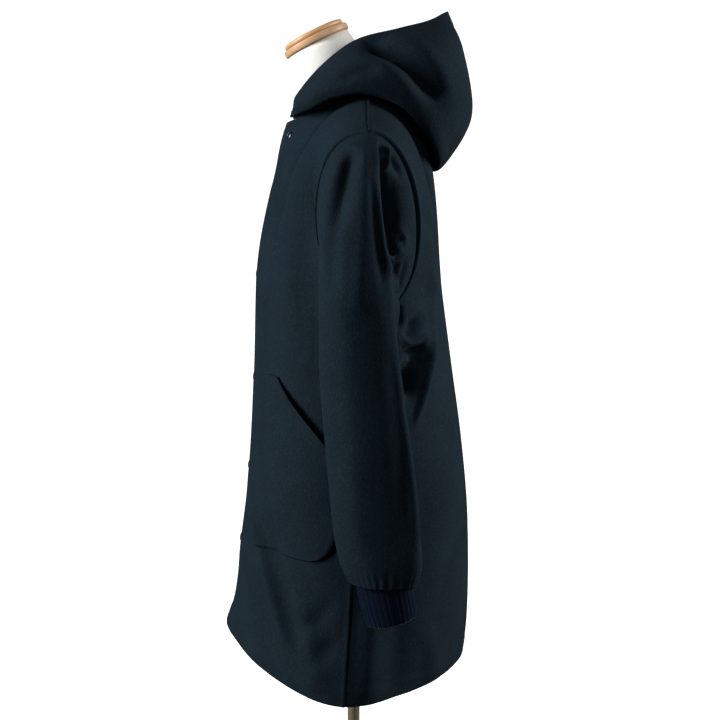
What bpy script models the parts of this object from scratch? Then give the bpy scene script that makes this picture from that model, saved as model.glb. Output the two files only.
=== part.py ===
"""A hooded wool parka resting on a limbless dress form with a round-footed stand.

Metres, +Z up. The coat's front faces -Y and the wearer's left side is +X. The origin is the
middle of the stand's underside, on the pole's axis. Each piece that is cut and sewn is one
closed wall: an outer surface worked out from short tables, and an inner one a wall further in.
"""
import math

import bpy
import numpy as np
from mathutils import Vector
from mathutils.bvhtree import BVHTree

# ---- driving dimensions ------------------------------------------------------------------
WALL = 0.002                # thickness of the wool coating
SEAM = 0.0003               # gap left between two pieces that are sewn together
UNDERLAP = WALL + 0.0013    # how far the right front lies inside the left one
LAP = 0.025                 # how far each front passes the centre line
FRONT_WIDTH = 0.295         # centre line to side seam, measured round the cloth
SHOULDER = 0.215            # half of the coat's width over the shoulder tips
NECK_HALF = 0.088           # half of the neckline's width
NECK_SHARE = 0.48           # share of a panel's top edge that is neckline, not shoulder
CUFF_EASE = 0.0016          # how far out of the cuff's top edge the sleeve turns down
CUFF_LIFT = 0.0009          # how high above that edge it does so
TURN_WALL = 0.0013          # thickness of the sleeve where it is gathered on to the cuff
CUFF_HOLD = 0.0008          # how far in over the cuff's top edge the sleeve is sewn
CUFF_RIBS = 30              # ribs round a knitted cuff
CUFF_WALL = 0.0022          # thickness of the knit between its ribs
RIB_HEIGHT = 0.0009         # how far a rib stands out
SNAP_RADIUS = 0.0058
SNAP_HEIGHT = 0.0018
SNAP_SEARCH = 0.005         # how far in and out of a snap's back the cloth is looked for
POLE_RADIUS = 0.0095
BASE_RADIUS = 0.180
BASE_HEIGHT = 0.010
FORM_UNDERSIDE = 0.775      # floor to the flat underside of the torso
SEAT_GAP = 0.0009           # gap between the form's shoulders and the cloth that rests there

# ---- the coat's rings, hem to armpit -----------------------------------------------------
# heights at the centre front, side seam and centre back; depth of the front and back
# outlines; place of the side seam; half width; fullness of the front and back arcs
RING_COLUMNS = ("z_front", "z_side", "z_back", "front", "back", "seam_y", "half",
                "full_front", "full_back")
RINGS = {
    "hem":    (0.590, 0.550, 0.541, -0.194, 0.168, -0.010, 0.217, 0.38, 0.36),
    "flip":   (0.634, 0.604, 0.595, -0.181, 0.174, -0.007, 0.216, 0.45, 0.42),
    "thigh":  (0.720, 0.700, 0.690, -0.170, 0.175, -0.001, 0.214, 0.54, 0.50),
    "hip":    (0.805, 0.795, 0.790, -0.1585, 0.170, 0.003, 0.212, 0.58, 0.55),
    "waist":  (0.900, 0.895, 0.895, -0.1505, 0.1585, 0.008, 0.209, 0.60, 0.57),
    "ribs":   (1.000, 0.995, 0.995, -0.1455, 0.144, 0.014, 0.206, 0.61, 0.58),
    "armpit": (1.087, 1.087, 1.087, -0.1425, 0.131, 0.020, 0.204, 0.61, 0.58),
}

# ---- how the panels rise from the armpit ring to the neckline and shoulder ----------------
# share across the panel; start upwards, start along the ring, start sideways; then the
# direction in which the panel arrives at its top edge
RISE_COLUMNS = ("share", "up", "along", "out", "to_x", "to_y", "to_z")
RISE_FRONT = (
    (0.00, 0.26, 0.00, 0.00, 0.00, 0.050, 0.240),
    (0.30, 0.27, -0.03, 0.00, -0.02, 0.200, 0.180),
    (0.48, 0.28, -0.06, 0.00, -0.01, 0.300, 0.080),
    (0.80, 0.25, -0.10, -0.02, 0.02, 0.270, 0.050),
    (1.00, 0.04, -0.24, -0.06, 0.14, 0.300, 0.000),
)
RISE_BACK = (
    (0.00, 0.26, 0.00, 0.00, 0.00, -0.150, 0.170),
    (0.30, 0.27, -0.03, 0.00, -0.02, -0.230, 0.130),
    (0.48, 0.28, -0.06, 0.00, -0.01, -0.280, 0.070),
    (0.80, 0.25, -0.12, -0.02, 0.02, -0.250, 0.050),
    (1.00, 0.04, -0.30, -0.06, 0.14, -0.230, 0.000),
)
# the neckline: centre point, its handle, the shoulder point's handle (then the shoulder)
NECKLINE_FRONT = ((0.0, -0.091, 1.333), (0.045, -0.092, 1.335), (0.086, -0.040, 1.362))
NECKLINE_BACK = ((0.0, 0.066, 1.388), (0.045, 0.066, 1.388), (0.080, 0.048, 1.384))
SHOULDER_POINTS = ((NECK_HALF, 0.019, 1.375), (0.150, 0.019, 1.3545), (SHOULDER, 0.020, 1.322))

# ---- the sleeve's rings, shoulder to cuff --------------------------------------------------
# outermost and innermost point of each ring, its front, its back on the inner half, the ridge
# that is its back on the outer half, and how square it is
SLEEVE_COLUMNS = ("out_x", "out_z", "in_x", "in_z", "front", "back", "ridge", "square")
SLEEVE = {
    "cap":     (0.236, 1.3140, 0.2080, 1.081, -0.041, 0.074, 0.050, 2.2),
    "head":    (0.260, 1.2930, 0.2140, 1.066, -0.042, 0.064, 0.037, 2.4),
    "upper":   (0.280, 1.2380, 0.2185, 1.045, -0.042, 0.060, 0.046, 2.5),
    "bicep":   (0.291, 1.1620, 0.2205, 1.005, -0.042, 0.058, 0.051, 2.5),
    "bend":    (0.297, 1.0780, 0.2215, 0.957, -0.041, 0.062, 0.059, 2.4),
    "elbow":   (0.299, 0.9900, 0.2225, 0.900, -0.036, 0.073, 0.070, 2.4),
    "forearm": (0.299, 0.9050, 0.2235, 0.845, -0.030, 0.080, 0.080, 2.3),
    "lower":   (0.297, 0.8300, 0.2245, 0.793, -0.024, 0.087, 0.087, 2.3),
    "blouse":  (0.296, 0.7790, 0.2250, 0.760, -0.0155, 0.0905, 0.0905, 2.3),
    "turn":    (0.2915, 0.7455, 0.2295, 0.7450, -0.0040, 0.0840, 0.0840, 2.2),
}
# the cuff's rings: middle, half widths, and how far each ring tips forwards in degrees
CUFF_COLUMNS = ("x", "y", "z", "half_x", "half_y", "tip")
CUFF = {
    "top":    (0.2610, 0.0395, 0.7545, 0.0240, 0.0365, 3),
    "middle": (0.2620, 0.0455, 0.7240, 0.0236, 0.0350, 9),
    "bottom": (0.2630, 0.0520, 0.6950, 0.0230, 0.0332, 13),
}

# ---- the hood's sections, from the front of the neck to the centre back --------------------
# each section runs from the rim over the crown and the belly down to the foot, its lowest
# line, and from there back in to the neckline: rim, crown, belly, foot and tuck as (x, y, z)
HOOD = (
    ((0.036, -0.0800, 1.3620), (0.038, -0.0835, 1.3575), (0.0395, -0.0860, 1.3530),
     (0.0405, -0.0865, 1.3485), (0.0400, -0.0850, 1.3450)),
    ((0.058, -0.0740, 1.3790), (0.080, -0.0760, 1.3730), (0.094, -0.0720, 1.3630),
     (0.096, -0.0610, 1.3530), (0.086, -0.0550, 1.3570)),
    ((0.078, -0.0400, 1.4150), (0.105, -0.0390, 1.4070), (0.124, -0.0350, 1.3890),
     (0.121, -0.0260, 1.3700), (0.104, -0.0230, 1.3700)),
    ((0.087, 0.0050, 1.4460), (0.117, 0.0120, 1.4340), (0.136, 0.0200, 1.4070),
     (0.131, 0.0220, 1.3765), (0.108, 0.0200, 1.3740)),
    ((0.080, 0.0600, 1.4610), (0.112, 0.0730, 1.4430), (0.130, 0.0800, 1.4030),
     (0.121, 0.0740, 1.3550), (0.101, 0.0590, 1.3640)),
    ((0.055, 0.1030, 1.4740), (0.086, 0.1230, 1.4440), (0.102, 0.1330, 1.3800),
     (0.093, 0.1100, 1.3010), (0.080, 0.0880, 1.3400)),
    ((0.024, 0.1270, 1.4880), (0.047, 0.1500, 1.4400), (0.058, 0.1610, 1.3500),
     (0.052, 0.1200, 1.2740), (0.045, 0.1030, 1.3260)),
    ((0.000, 0.1330, 1.4920), (0.000, 0.1575, 1.4280), (0.000, 0.1680, 1.3420),
     (0.000, 0.1180, 1.2700), (0.000, 0.1060, 1.3250)),
)
HOOD_FRONT_END = 0.20       # where on the neckline the hood begins, as a share of it

# ---- folds: ridges (+) and troughs (-) on the panels ---------------------------------------
# start y, z and end y, z as seen from the side; half width; height
FOLDS_BACK = (
    (0.104, 1.240, 0.114, 1.060, 0.016, 0.006),
    (0.115, 1.045, 0.090, 0.945, 0.014, 0.008),
    (0.090, 1.050, 0.082, 0.970, 0.022, -0.022),
)
FOLDS_FRONT = (
    (-0.146, 0.800, -0.100, 0.600, 0.020, 0.006),
    (-0.085, 0.690, -0.060, 0.570, 0.022, -0.005),
)

# ---- the patch pocket, seen from the side --------------------------------------------------
# height; then the patch's front and back edge there, as shares across the panel
POCKET_EDGE = (
    (0.7535, 0.420, 0.800),
    (0.7600, 0.365, 0.862),
    (0.7780, 0.330, 0.905),
    (0.8030, 0.322, 0.928),
    (0.8450, 0.322, 0.938),
    (0.8850, 0.322, 0.940),
    (0.9150, 0.322, 0.872),
    (0.9450, 0.322, 0.790),
    (0.9720, 0.335, 0.718),
    (0.9930, 0.470, 0.665),
    (1.0080, 0.578, 0.628),
)
POCKET_LIFT = 0.0016        # from the panel to the patch along its sewn edges
MOUTH_GAPE = 0.0028         # how much further the patch stands off at its mouth
MOUTH_OPENS = (0.875, 0.925)   # heights over which the mouth's lower end opens
MOUTH_CLOSES = (0.970, 1.008)  # heights over which its upper end closes
POCKET_STEPS = 12           # points across the patch

# ---- the dress form ------------------------------------------------------------------------
FORM_COLUMNS = ("z", "front", "back", "half", "square")
FORM = {
    "underside": (0.775, -0.104, 0.118, 0.158, 2.2),
    "hips":      (0.830, -0.108, 0.124, 0.163, 2.2),
    "seat":      (0.900, -0.104, 0.114, 0.152, 2.2),
    "waist":     (1.000, -0.092, 0.084, 0.124, 2.1),
    "ribs":      (1.090, -0.110, 0.090, 0.140, 2.1),
    "chest":     (1.170, -0.118, 0.098, 0.158, 2.2),
    "upper":     (1.235, -0.105, 0.098, 0.170, 2.3),
    "yoke":      (1.285, -0.085, 0.092, 0.184, 2.3),
}
NECK_TILT = math.radians(26)
CAP_CENTRE = (0.0, -0.0495, 1.4480)
CAP_RADIUS = 0.0490
DISC_HEIGHT = 0.0092

ROWS_BELOW = 9              # rows of a panel below the armpit
ROWS_ABOVE = 12             # rows of a panel along the armhole

# ---- smaller sizes ---------------------------------------------------------------------------
LAP_SHARE = LAP / FRONT_WIDTH   # the overlap as a share of a front's width
BELOW_ARMPIT = 0.985        # rise just below the armpit, where a panel's way upwards is read
BESIDE = 0.01               # share to either side, where its way along the ring is read
EDGE_STRAIGHTENS = 0.9      # share of the neckline over which a front's edge is taken up
OPEN_SHARE_LEFT = 0.055     # where the left front's edge is at the open neck
OPEN_SHARE_RIGHT = 0.045
OPENS_BETWEEN = (1.45, 2.0)  # rises between which the fronts part
CORNER_CURL = 0.006         # how far the left front's top corner turns out
CURLS_BETWEEN = (1.55, 2.0)  # rises over which it does so
CURL_WIDTH = 0.16           # share of the front that turns
LIES_UNDER = (LAP + 0.004, LAP + 0.045)   # distances from the centre over which the right front sinks
# folds fade out towards a panel's edges: front edge, side seam, neckline and shoulder, hem
FADE_EDGE = (-0.05, 0.06)
FADE_SIDE = (0, 0.08)
FADE_TOP = (0, 0.25)
FADE_HEM = (-0.1, 0.1)
HOLE_ROUNDS = 4             # how often the cloth's turn along the armhole is evened out
STAND_HEIGHT = 0.007        # how far the hood stands up from the neckline before it turns over
STAND_TURN = 0.006          # how wide that turn is
HOOD_HOLD = 0.05            # share of the neckline over which the hood's front end stays flat
STAND_LEAN = 0.8            # how steeply it stands on the cloth of the neckline
HOOD_GROWS = (-0.03, 0.12)  # shares of the neckline over which that stand rises
SLEEVE_PARTS = (-1.35, 1.0)  # stops over which the sleeve goes from the armhole's form to its own
RIDGE_TURNS = (-0.6, 0.3)   # how far out, as a share, the sleeve's back becomes its ridge
NECK_MIDDLE = np.array((0.0, -0.012, 1.395))
HOOD_CLEAR = 0.0022         # how far the hood stays off the shoulders
HOOD_NEAR = 0.03            # cloth further off than this doesn't move the hood
COLLAR_TOP = 0.030          # top of the collar on the foot
# distance from the front edge, and rise, of each snap from the top down
SNAPS = ((0.036, 1.895), (0.025, 1.62), (0.025, 1.146), (0.025, 0.778), (0.025, 0.556),
         (0.025, 0.334))
STUD = (0.030, 1.895)
# profiles of a cap and a stud: radius and height, as shares of a snap's, and in metres
CAP_PROFILE = ((0.92, 0), (1.00, 0.35), (0.80, 0.85), (0.35, 1.00))
STUD_PROFILE = ((SNAP_RADIUS * 0.8, 0), (SNAP_RADIUS * 0.8, 0.0006), (0.0022, 0.0009),
                (0.0020, 0.0022))
# how a cuff's ribs show: ring, share of their height, and how far the ring is held in, as a share
RIB_ROWS = (("top", 0.25, 0.25), ("middle", 1.0, 0.0), ("bottom", 0.8, 0.0))
SEAT_STEP = 0.0006          # how far a point of the form is drawn in at a time
SEAT_ROUNDS = 60
SEAT_REACH = 0.030          # cloth further off than this doesn't draw the form in
# the form's shoulders: height, front, back, half width, squareness, before they are seated
SHOULDER_RINGS = (
    (1.310, -0.066, 0.086, 0.186, 2.3),
    (1.328, -0.060, 0.082, 0.178, 2.3),
    (1.342, -0.058, 0.078, 0.150, 2.2),
    (1.354, -0.062, 0.076, 0.122, 2.1),
    (1.362, -0.068, 0.070, 0.098, 2.0),
)
# the neck: y, z, radius and forward tilt in degrees
NECK_RINGS = (
    (-0.010, 1.3730, 0.0680, 8),
    (-0.020, 1.3880, 0.0590, 14),
    (-0.032, 1.4120, 0.0520, 21),
)
NECK_TOP_RADIUS = CAP_RADIUS * 0.96
# profiles of the cap's two discs, the pole and the foot, from below: radius, height
UPPER_RADIUS = CAP_RADIUS - 0.0016
LOWER_DISC = ((CAP_RADIUS - 0.0012, 0), (CAP_RADIUS, 0.0014), (CAP_RADIUS, DISC_HEIGHT - 0.0014),
              (CAP_RADIUS - 0.0012, DISC_HEIGHT))
UPPER_DISC = ((UPPER_RADIUS - 0.0012, 0), (UPPER_RADIUS, 0.0014),
              (UPPER_RADIUS, DISC_HEIGHT - 0.0020), (UPPER_RADIUS - 0.0022, DISC_HEIGHT),
              (UPPER_RADIUS - 0.010, DISC_HEIGHT + 0.0012))
POLE_PROFILE = ((POLE_RADIUS, COLLAR_TOP + SEAM), (POLE_RADIUS, FORM_UNDERSIDE - SEAM))
FOOT_PROFILE = ((BASE_RADIUS, 0), (BASE_RADIUS, BASE_HEIGHT - 0.003),
                (BASE_RADIUS - 0.003, BASE_HEIGHT), (0.026, BASE_HEIGHT),
                (0.022, BASE_HEIGHT + 0.004), (0.022, COLLAR_TOP))

# ---- colours ---------------------------------------------------------------------------------
WOOL = ((0.010, 0.016, 0.023), 0.92, 0.0)
KNIT = ((0.016, 0.022, 0.055), 0.90, 0.0)
SNAP_METAL = ((0.030, 0.040, 0.060), 0.35, 0.6)
LINEN = ((0.72, 0.68, 0.60), 0.85, 0.0)
WOOD = ((0.60, 0.40, 0.24), 0.45, 0.0)
PAINTED_STEEL = ((0.22, 0.20, 0.14), 0.40, 0.7)


# ---- reading the tables ----------------------------------------------------------------------
def curve_at(stops, values, at):
    """A smooth curve through values given at stops, read at each place in at."""
    stops = np.asarray(stops, float)
    values = np.asarray(values, float)
    at = np.clip(np.asarray(at, float), stops[0], stops[-1])
    slopes = np.gradient(values, stops, axis=0)
    i = np.clip(np.searchsorted(stops, at, side="right") - 1, 0, len(stops) - 2)
    span = stops[i + 1] - stops[i]
    t = (at - stops[i]) / span
    if values.ndim > 1:
        extra = (1,) * (values.ndim - 1)
        span = span.reshape(span.shape + extra)
        t = t.reshape(t.shape + extra)
    keep = 2 * t**3 - 3 * t**2 + 1
    leave = (t**3 - 2 * t**2 + t) * span
    reach = 3 * t**2 - 2 * t**3
    arrive = (t**3 - t**2) * span
    return keep * values[i] + leave * slopes[i] + reach * values[i + 1] + arrive * slopes[i + 1]


def ease(x, low, high):
    """0 below low, 1 above high and a smooth step between them."""
    t = np.clip((np.asarray(x, float) - low) / (high - low), 0, 1)
    return t * t * (3 - 2 * t)


def unit(v):
    """Vectors of length one."""
    return v / np.maximum(np.linalg.norm(v, axis=-1, keepdims=True), 1e-12)


def bezier(points, shares, fine=80):
    """Places on a cubic Bezier curve, evenly spread along its length."""
    a, b, c, d = (np.asarray(p, float) for p in points)
    t = np.linspace(0, 1, fine)[:, None]
    line = (1 - t) ** 3 * a + 3 * (1 - t) ** 2 * t * b + 3 * (1 - t) * t**2 * c + t**3 * d
    along = np.concatenate([[0], np.cumsum(np.linalg.norm(np.diff(line, axis=0), axis=1))])
    wanted = np.asarray(shares) * along[-1]
    return np.stack([np.interp(wanted, along, line[:, k]) for k in range(3)], axis=-1)


# ---- the body of the coat --------------------------------------------------------------------
RING_TABLE = np.array(list(RINGS.values()))
RING_STOPS = np.linspace(0, 1, len(RINGS))


def ring_arc(rise, shares, back):
    """A quarter of the ring at this rise (0 hem, 1 armpit), centre to side seam, left half."""
    row = dict(zip(RING_COLUMNS, curve_at(RING_STOPS, RING_TABLE, np.array([rise]))[0]))
    centre_y = row["back"] if back else row["front"]
    centre_z = row["z_back"] if back else row["z_front"]
    full = row["full_back"] if back else row["full_front"]
    side_y = row["seam_y"] + full * (centre_y - row["seam_y"])
    corner = ((0, centre_y, centre_z), (full * row["half"], centre_y, centre_z),
              (row["half"], side_y, row["z_side"]), (row["half"], row["seam_y"], row["z_side"]))
    return bezier(corner, shares)


def top_edge(shares, back):
    """The neckline and the shoulder seam, from the centre to the shoulder tip."""
    line = NECKLINE_BACK if back else NECKLINE_FRONT
    on_neck = bezier((*line, SHOULDER_POINTS[0]), np.clip(shares / NECK_SHARE, 0, 1))
    part = np.clip((shares - NECK_SHARE) / (1 - NECK_SHARE), 0, 1)
    on_shoulder = curve_at((0, 0.5, 1), SHOULDER_POINTS, part)
    return np.where((shares <= NECK_SHARE)[:, None], on_neck, on_shoulder)


def panel_row(shares, rise, back):
    """A row of points on the coat's outer surface: rise is 0 at the hem, 1 at the armpit, 2 on top."""
    side = np.where(shares < 0, -1.0, 1.0)
    across = np.abs(shares)
    row = ring_arc(min(rise, 1.0), across, back)
    if rise > 1:
        t = rise - 1
        upwards = unit(row - ring_arc(BELOW_ARMPIT, across, back))
        sideways = unit(ring_arc(1.0, np.minimum(across + BESIDE, 1), back)
                        - ring_arc(1.0, np.maximum(across - BESIDE, 0), back))
        guide = dict(zip(RISE_COLUMNS, np.array(RISE_BACK if back else RISE_FRONT).T))
        lead = {name: curve_at(guide["share"], guide[name], across)[:, None] for name in guide}
        start = upwards * lead["up"] + sideways * lead["along"]
        start[:, :1] += lead["out"]
        arrive = np.hstack([lead["to_x"], lead["to_y"], lead["to_z"]])
        row = ((2 * t**3 - 3 * t**2 + 1) * row + (t**3 - 2 * t**2 + t) * start
               + (3 * t**2 - 2 * t**3) * top_edge(across, back) + (t**3 - t**2) * arrive)
    row[:, 0] *= side
    return row


def surface(shares, rises, back):
    """A grid of points on the coat's outer surface, one row for each rise."""
    return np.stack([panel_row(shares[i], rises[i], back) for i in range(len(rises))])


def tangents(grid, axis, closed=False):
    """Directions along one axis of a grid, halfway between the ways to both neighbours."""
    grid = np.moveaxis(grid, axis, 0)
    ahead = unit(np.roll(grid, -1, axis=0) - grid)
    if not closed:
        ahead[-1] = ahead[-2]
    behind = np.roll(ahead, 1, axis=0)
    if not closed:
        behind[0] = ahead[0]
    return np.moveaxis(unit(ahead + behind), 0, axis)


def normals_of(grid, round_about=False):
    """Unit normals of a grid of points."""
    return unit(np.cross(tangents(grid, 1, round_about), tangents(grid, 0)))


def folded(grid, normals, folds, fade):
    """The grid with its ridges and troughs."""
    moved = grid.copy()
    for y1, z1, y2, z2, width, height in folds:
        start = np.array((y1, z1))
        way = np.array((y2, z2)) - start
        seen = grid[:, :, 1:] - start
        part = np.clip((seen @ way) / (way @ way), 0, 1)
        off = np.linalg.norm(seen - part[:, :, None] * way, axis=-1)
        bump = height * np.exp(-((off / width) ** 2)) * (0.55 + 0.45 * np.sin(math.pi * part))
        moved += normals * (bump * fade)[:, :, None]
    return moved


# ---- making solids ---------------------------------------------------------------------------
def material_of(name, look):
    """A plain material of one colour."""
    colour, roughness, metallic = look
    material = bpy.data.materials.new(name)
    material.use_nodes = True
    shader = material.node_tree.nodes["Principled BSDF"]
    shader.inputs["Base Color"].default_value = (*colour, 1)
    shader.inputs["Roughness"].default_value = roughness
    shader.inputs["Metallic"].default_value = metallic
    return material


def solid(name, points, faces, look):
    """One named object from points and triangles, turned so that its faces point out."""
    points = np.asarray(points, float)
    faces = np.asarray(faces, int)
    a, b, c = (points[faces[:, k]] for k in range(3))
    if (a * np.cross(b, c)).sum() < 0:
        faces = faces[:, ::-1]
    mesh = bpy.data.meshes.new(name)
    mesh.from_pydata(points.tolist(), [], faces.tolist())
    mesh.update()
    mesh.shade_smooth()
    mesh.set_sharp_from_angle(angle=math.radians(40))
    mesh.materials.append(material_of(name, look))
    thing = bpy.data.objects.new(name, mesh)
    bpy.context.scene.collection.objects.link(thing)
    return thing


def wall_solid(name, outer, inner, look, round_about=False):
    """A closed wall between two grids of points."""
    rows, columns = outer.shape[:2]
    count = rows * columns
    last = columns if round_about else columns - 1
    faces = []

    def at(i, j, layer=0):
        return layer * count + i * columns + j % columns

    for i in range(rows - 1):
        for j in range(last):
            for layer in (0, 1):
                a, b = at(i, j, layer), at(i, j + 1, layer)
                c, d = at(i + 1, j + 1, layer), at(i + 1, j, layer)
                pair = [(a, b, c), (a, c, d)]
                faces += [f[::-1] for f in pair] if layer else pair
    rim = [((0, j), (0, j + 1)) for j in range(last)]
    rim += [((rows - 1, j + 1), (rows - 1, j)) for j in range(last)]
    if not round_about:
        rim += [((i + 1, 0), (i, 0)) for i in range(rows - 1)]
        rim += [((i, columns - 1), (i + 1, columns - 1)) for i in range(rows - 1)]
    for first, second in rim:
        a, b = at(*first), at(*second)
        faces += [(b, a, a + count), (b, a + count, b + count)]
    return solid(name, np.concatenate([outer.reshape(-1, 3), inner.reshape(-1, 3)]), faces, look)


def stack_solid(name, rings, look):
    """A closed solid through rings of points, with a cap at each end."""
    count = len(rings[0])
    points = np.concatenate([*rings, rings[0].mean(0)[None], rings[-1].mean(0)[None]])
    top = (len(rings) - 1) * count
    faces = []
    for j in range(count):
        k = (j + 1) % count
        for i in range(len(rings) - 1):
            a, b, c, d = i * count + j, i * count + k, (i + 1) * count + k, (i + 1) * count + j
            faces += [(a, b, c), (a, c, d)]
        faces += [(k, j, len(points) - 2), (top + j, top + k, len(points) - 1)]
    return solid(name, points, faces, look)


def turned(name, profile, centre, axis, look, sides=24):
    """A solid of revolution from (radius, distance along the axis) pairs."""
    axis = unit(np.asarray(axis, float))
    across = unit(np.cross(axis, (1.0, 0.0, 0.0)))
    other = np.cross(axis, across)
    angles = np.arange(sides)[:, None] * 2 * math.pi / sides
    spoke = np.cos(angles) * across + np.sin(angles) * other
    rings = [np.asarray(centre) + along * axis + radius * spoke for radius, along in profile]
    return stack_solid(name, rings, look)


# ---- the fronts and the back -----------------------------------------------------------------
NECK_STEPS = np.linspace(0, NECK_SHARE, 8)
SHOULDER_STEPS = NECK_SHARE + (1 - NECK_SHARE) * np.array((0.18, 0.36, 0.53, 0.70, 0.86, 1.0))
STEPS = np.concatenate([NECK_STEPS, SHOULDER_STEPS])
RISES = np.concatenate([
    np.linspace(0, 1, ROWS_BELOW + 1)[:-1],
    1 + (1 - np.cos(np.linspace(0, math.pi, ROWS_ABOVE + 1))) / 2,
])


def front_shares(edge_below, edge_top):
    """Shares across a front for each row, from its front edge to the side seam."""
    start = edge_below + (edge_top - edge_below) * ease(RISES, *OPENS_BETWEEN)
    return STEPS + start[:, None] * (1 - ease(STEPS, 0, EDGE_STRAIGHTENS * NECK_SHARE))


def drawn_in(grid):
    """Draws the side seam and the shoulder seam of a panel in by half a seam's gap."""
    drawn = grid.copy()
    below = RISES <= 1
    drawn[below, -1] += unit(grid[below, -2] - grid[below, -1]) * SEAM / 2
    on_shoulder = slice(len(NECK_STEPS) - 1, None)
    drawn[-1, on_shoulder] += unit(grid[-2, on_shoulder] - grid[-1, on_shoulder]) * SEAM / 2
    return drawn


def half_panels():
    """Outer points and normals of the left front, the right front (as a left one) and the back."""
    left = surface(front_shares(-LAP_SHARE, OPEN_SHARE_LEFT), RISES, False)
    right = surface(front_shares(-LAP_SHARE, OPEN_SHARE_RIGHT), RISES, False)
    back = surface(np.tile(STEPS, (len(RISES), 1)), RISES, True)
    made = {"left": [left, normals_of(left)], "right": [right, normals_of(right)],
            "back": [back, -normals_of(back)]}
    sewn = [(slice(None), -1), (-1, slice(len(NECK_STEPS) - 1, None))]
    for place in sewn:
        common = unit(made["left"][1][place] + made["back"][1][place])
        for name in made:
            kept = made[name][1]
            if place[1] == -1:
                under = RISES <= 1
                kept[under, -1] = common[under]
                kept[-1, -1] = common[-1]
            else:
                kept[place] = common
    for kept in (made[name][1] for name in made):
        over = RISES >= 1
        column = kept[over, -1] + kept[over, -2]
        for _ in range(HOLE_ROUNDS):
            column[1:-1] = (column[:-2] + column[1:-1] + column[2:]) / 3
        kept[over, -1] = np.concatenate([kept[over, -1][:1], unit(column[1:-1]), kept[-1:, -1]])
    fade = ease(STEPS, *FADE_EDGE) * ease(1 - STEPS, *FADE_SIDE)
    fade = fade[None, :] * (ease(2 - RISES, *FADE_TOP) * ease(RISES, *FADE_HEM))[:, None]
    for name, folds in (("left", FOLDS_FRONT), ("right", FOLDS_FRONT), ("back", FOLDS_BACK)):
        grid, normals = made[name]
        made[name][0] = folded(grid, normals, folds, fade)
    grid, normals = made["right"]
    under = 1 - ease(grid[:, :, 0], *LIES_UNDER)
    made["right"][0] = grid - normals * (UNDERLAP * under)[:, :, None]
    grid, normals = made["left"]
    curl = ease(RISES, *CURLS_BETWEEN)[:, None] * (1 - ease(STEPS, 0, CURL_WIDTH))[None, :]
    made["left"][0] = grid + normals * (CORNER_CURL * curl)[:, :, None]
    return {name: (drawn_in(grid), normals) for name, (grid, normals) in made.items()}


def mirrored(grid):
    """The same points on the wearer's other side."""
    return grid * np.array((-1.0, 1.0, 1.0))


def whole_back(half):
    """The back from side seam to side seam, from its left half."""
    return np.concatenate([mirrored(half[:, :0:-1]), half], axis=1)


def make_body(halves):
    """The two fronts and the back."""
    for name, key, flip in (("front_left", "left", False), ("front_right", "right", True)):
        outer, normals = halves[key]
        inner = outer - normals * WALL
        pair = (mirrored(outer), mirrored(inner)) if flip else (outer, inner)
        wall_solid(name, *pair, WOOL)
    outer, normals = halves["back"]
    wall_solid("back", whole_back(outer), whole_back(outer - normals * WALL), WOOL)


# ---- the sleeves and cuffs ---------------------------------------------------------------------
SLEEVE_TABLE = np.array(list(SLEEVE.values()))
SLEEVE_STOPS = np.arange(len(SLEEVE), dtype=float)
SLEEVE_ROWS = (-0.5, 0, 0.5, 1, 1.5, 2, 2.5, 3, 3.5, 4, 4.6, 5.2, 5.9, 6.6, 7.2, 7.7, 8.2, 8.6, 9)


def armhole(halves):
    """Points round the left armhole from the shoulder tip forwards, with the cloth's normals there."""
    over = np.flatnonzero(RISES >= 1)
    front, front_normals = (grid[over[::-1], -1] for grid in halves["left"])
    back, back_normals = (grid[over[1:-1], -1] for grid in halves["back"])
    return np.concatenate([front, back]), np.concatenate([front_normals, back_normals])


def sleeve_ring(stop, angles):
    """Points of one ring of the left sleeve, at angles from its outermost point to the back."""
    row = dict(zip(SLEEVE_COLUMNS, curve_at(SLEEVE_STOPS, SLEEVE_TABLE, np.array([stop]))[0]))
    outermost = np.array((row["out_x"], 0, row["out_z"]))
    innermost = np.array((row["in_x"], 0, row["in_z"]))
    middle = (outermost + innermost) / 2
    middle[1] = (row["front"] + row["back"]) / 2
    reach = (outermost - innermost) / 2
    power = 2 / row["square"]
    deep = np.sign(np.cos(angles)) * np.abs(np.cos(angles)) ** power
    wide = np.sign(np.sin(angles)) * np.abs(np.sin(angles)) ** power
    ring = deep[:, None] * reach
    behind = row["back"] + (row["ridge"] - row["back"]) * ease(deep, *RIDGE_TURNS)
    half_wide = np.where(wide > 0, behind, row["back"]) - middle[1]
    ring[:, 1] += wide * half_wide
    return middle + ring


def sewn_on(edge, normals, towards, beyond):
    """Where a piece starts beside a sewn edge, and its normals there.

    The first piece has normals, and its surface would go on beyond the edge. A piece that turns
    outwards starts square to its own way; one that turns inwards starts level with the edge.
    """
    way = towards - edge
    out = (way * normals).sum(-1)
    ahead = (way * beyond).sum(-1)
    turn = np.maximum(np.arctan2(out, ahead), 0)[:, None]
    upright = np.minimum(turn, math.pi / 2)
    start = edge + SEAM * (np.cos(upright) * beyond + np.sin(upright) * normals)
    return start, unit(np.cos(turn) * normals - np.sin(turn) * beyond)


def away_from(edge, normals, along, goal):
    """Directions square to an edge and to its normals, on the side of a goal."""
    beyond = unit(np.cross(along, normals))
    return beyond * np.sign((beyond * goal).sum(-1, keepdims=True))


def cuff_ring(name, angles, out=0.0):
    """Points of one ring of the left cuff."""
    row = dict(zip(CUFF_COLUMNS, CUFF[name]))
    back = (row["half_y"] + out) * np.sin(angles)
    tip = math.radians(row["tip"])
    return np.stack([row["x"] + (row["half_x"] + out) * np.cos(angles),
                     row["y"] + back * math.cos(tip), row["z"] + back * math.sin(tip)], axis=-1)


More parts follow.
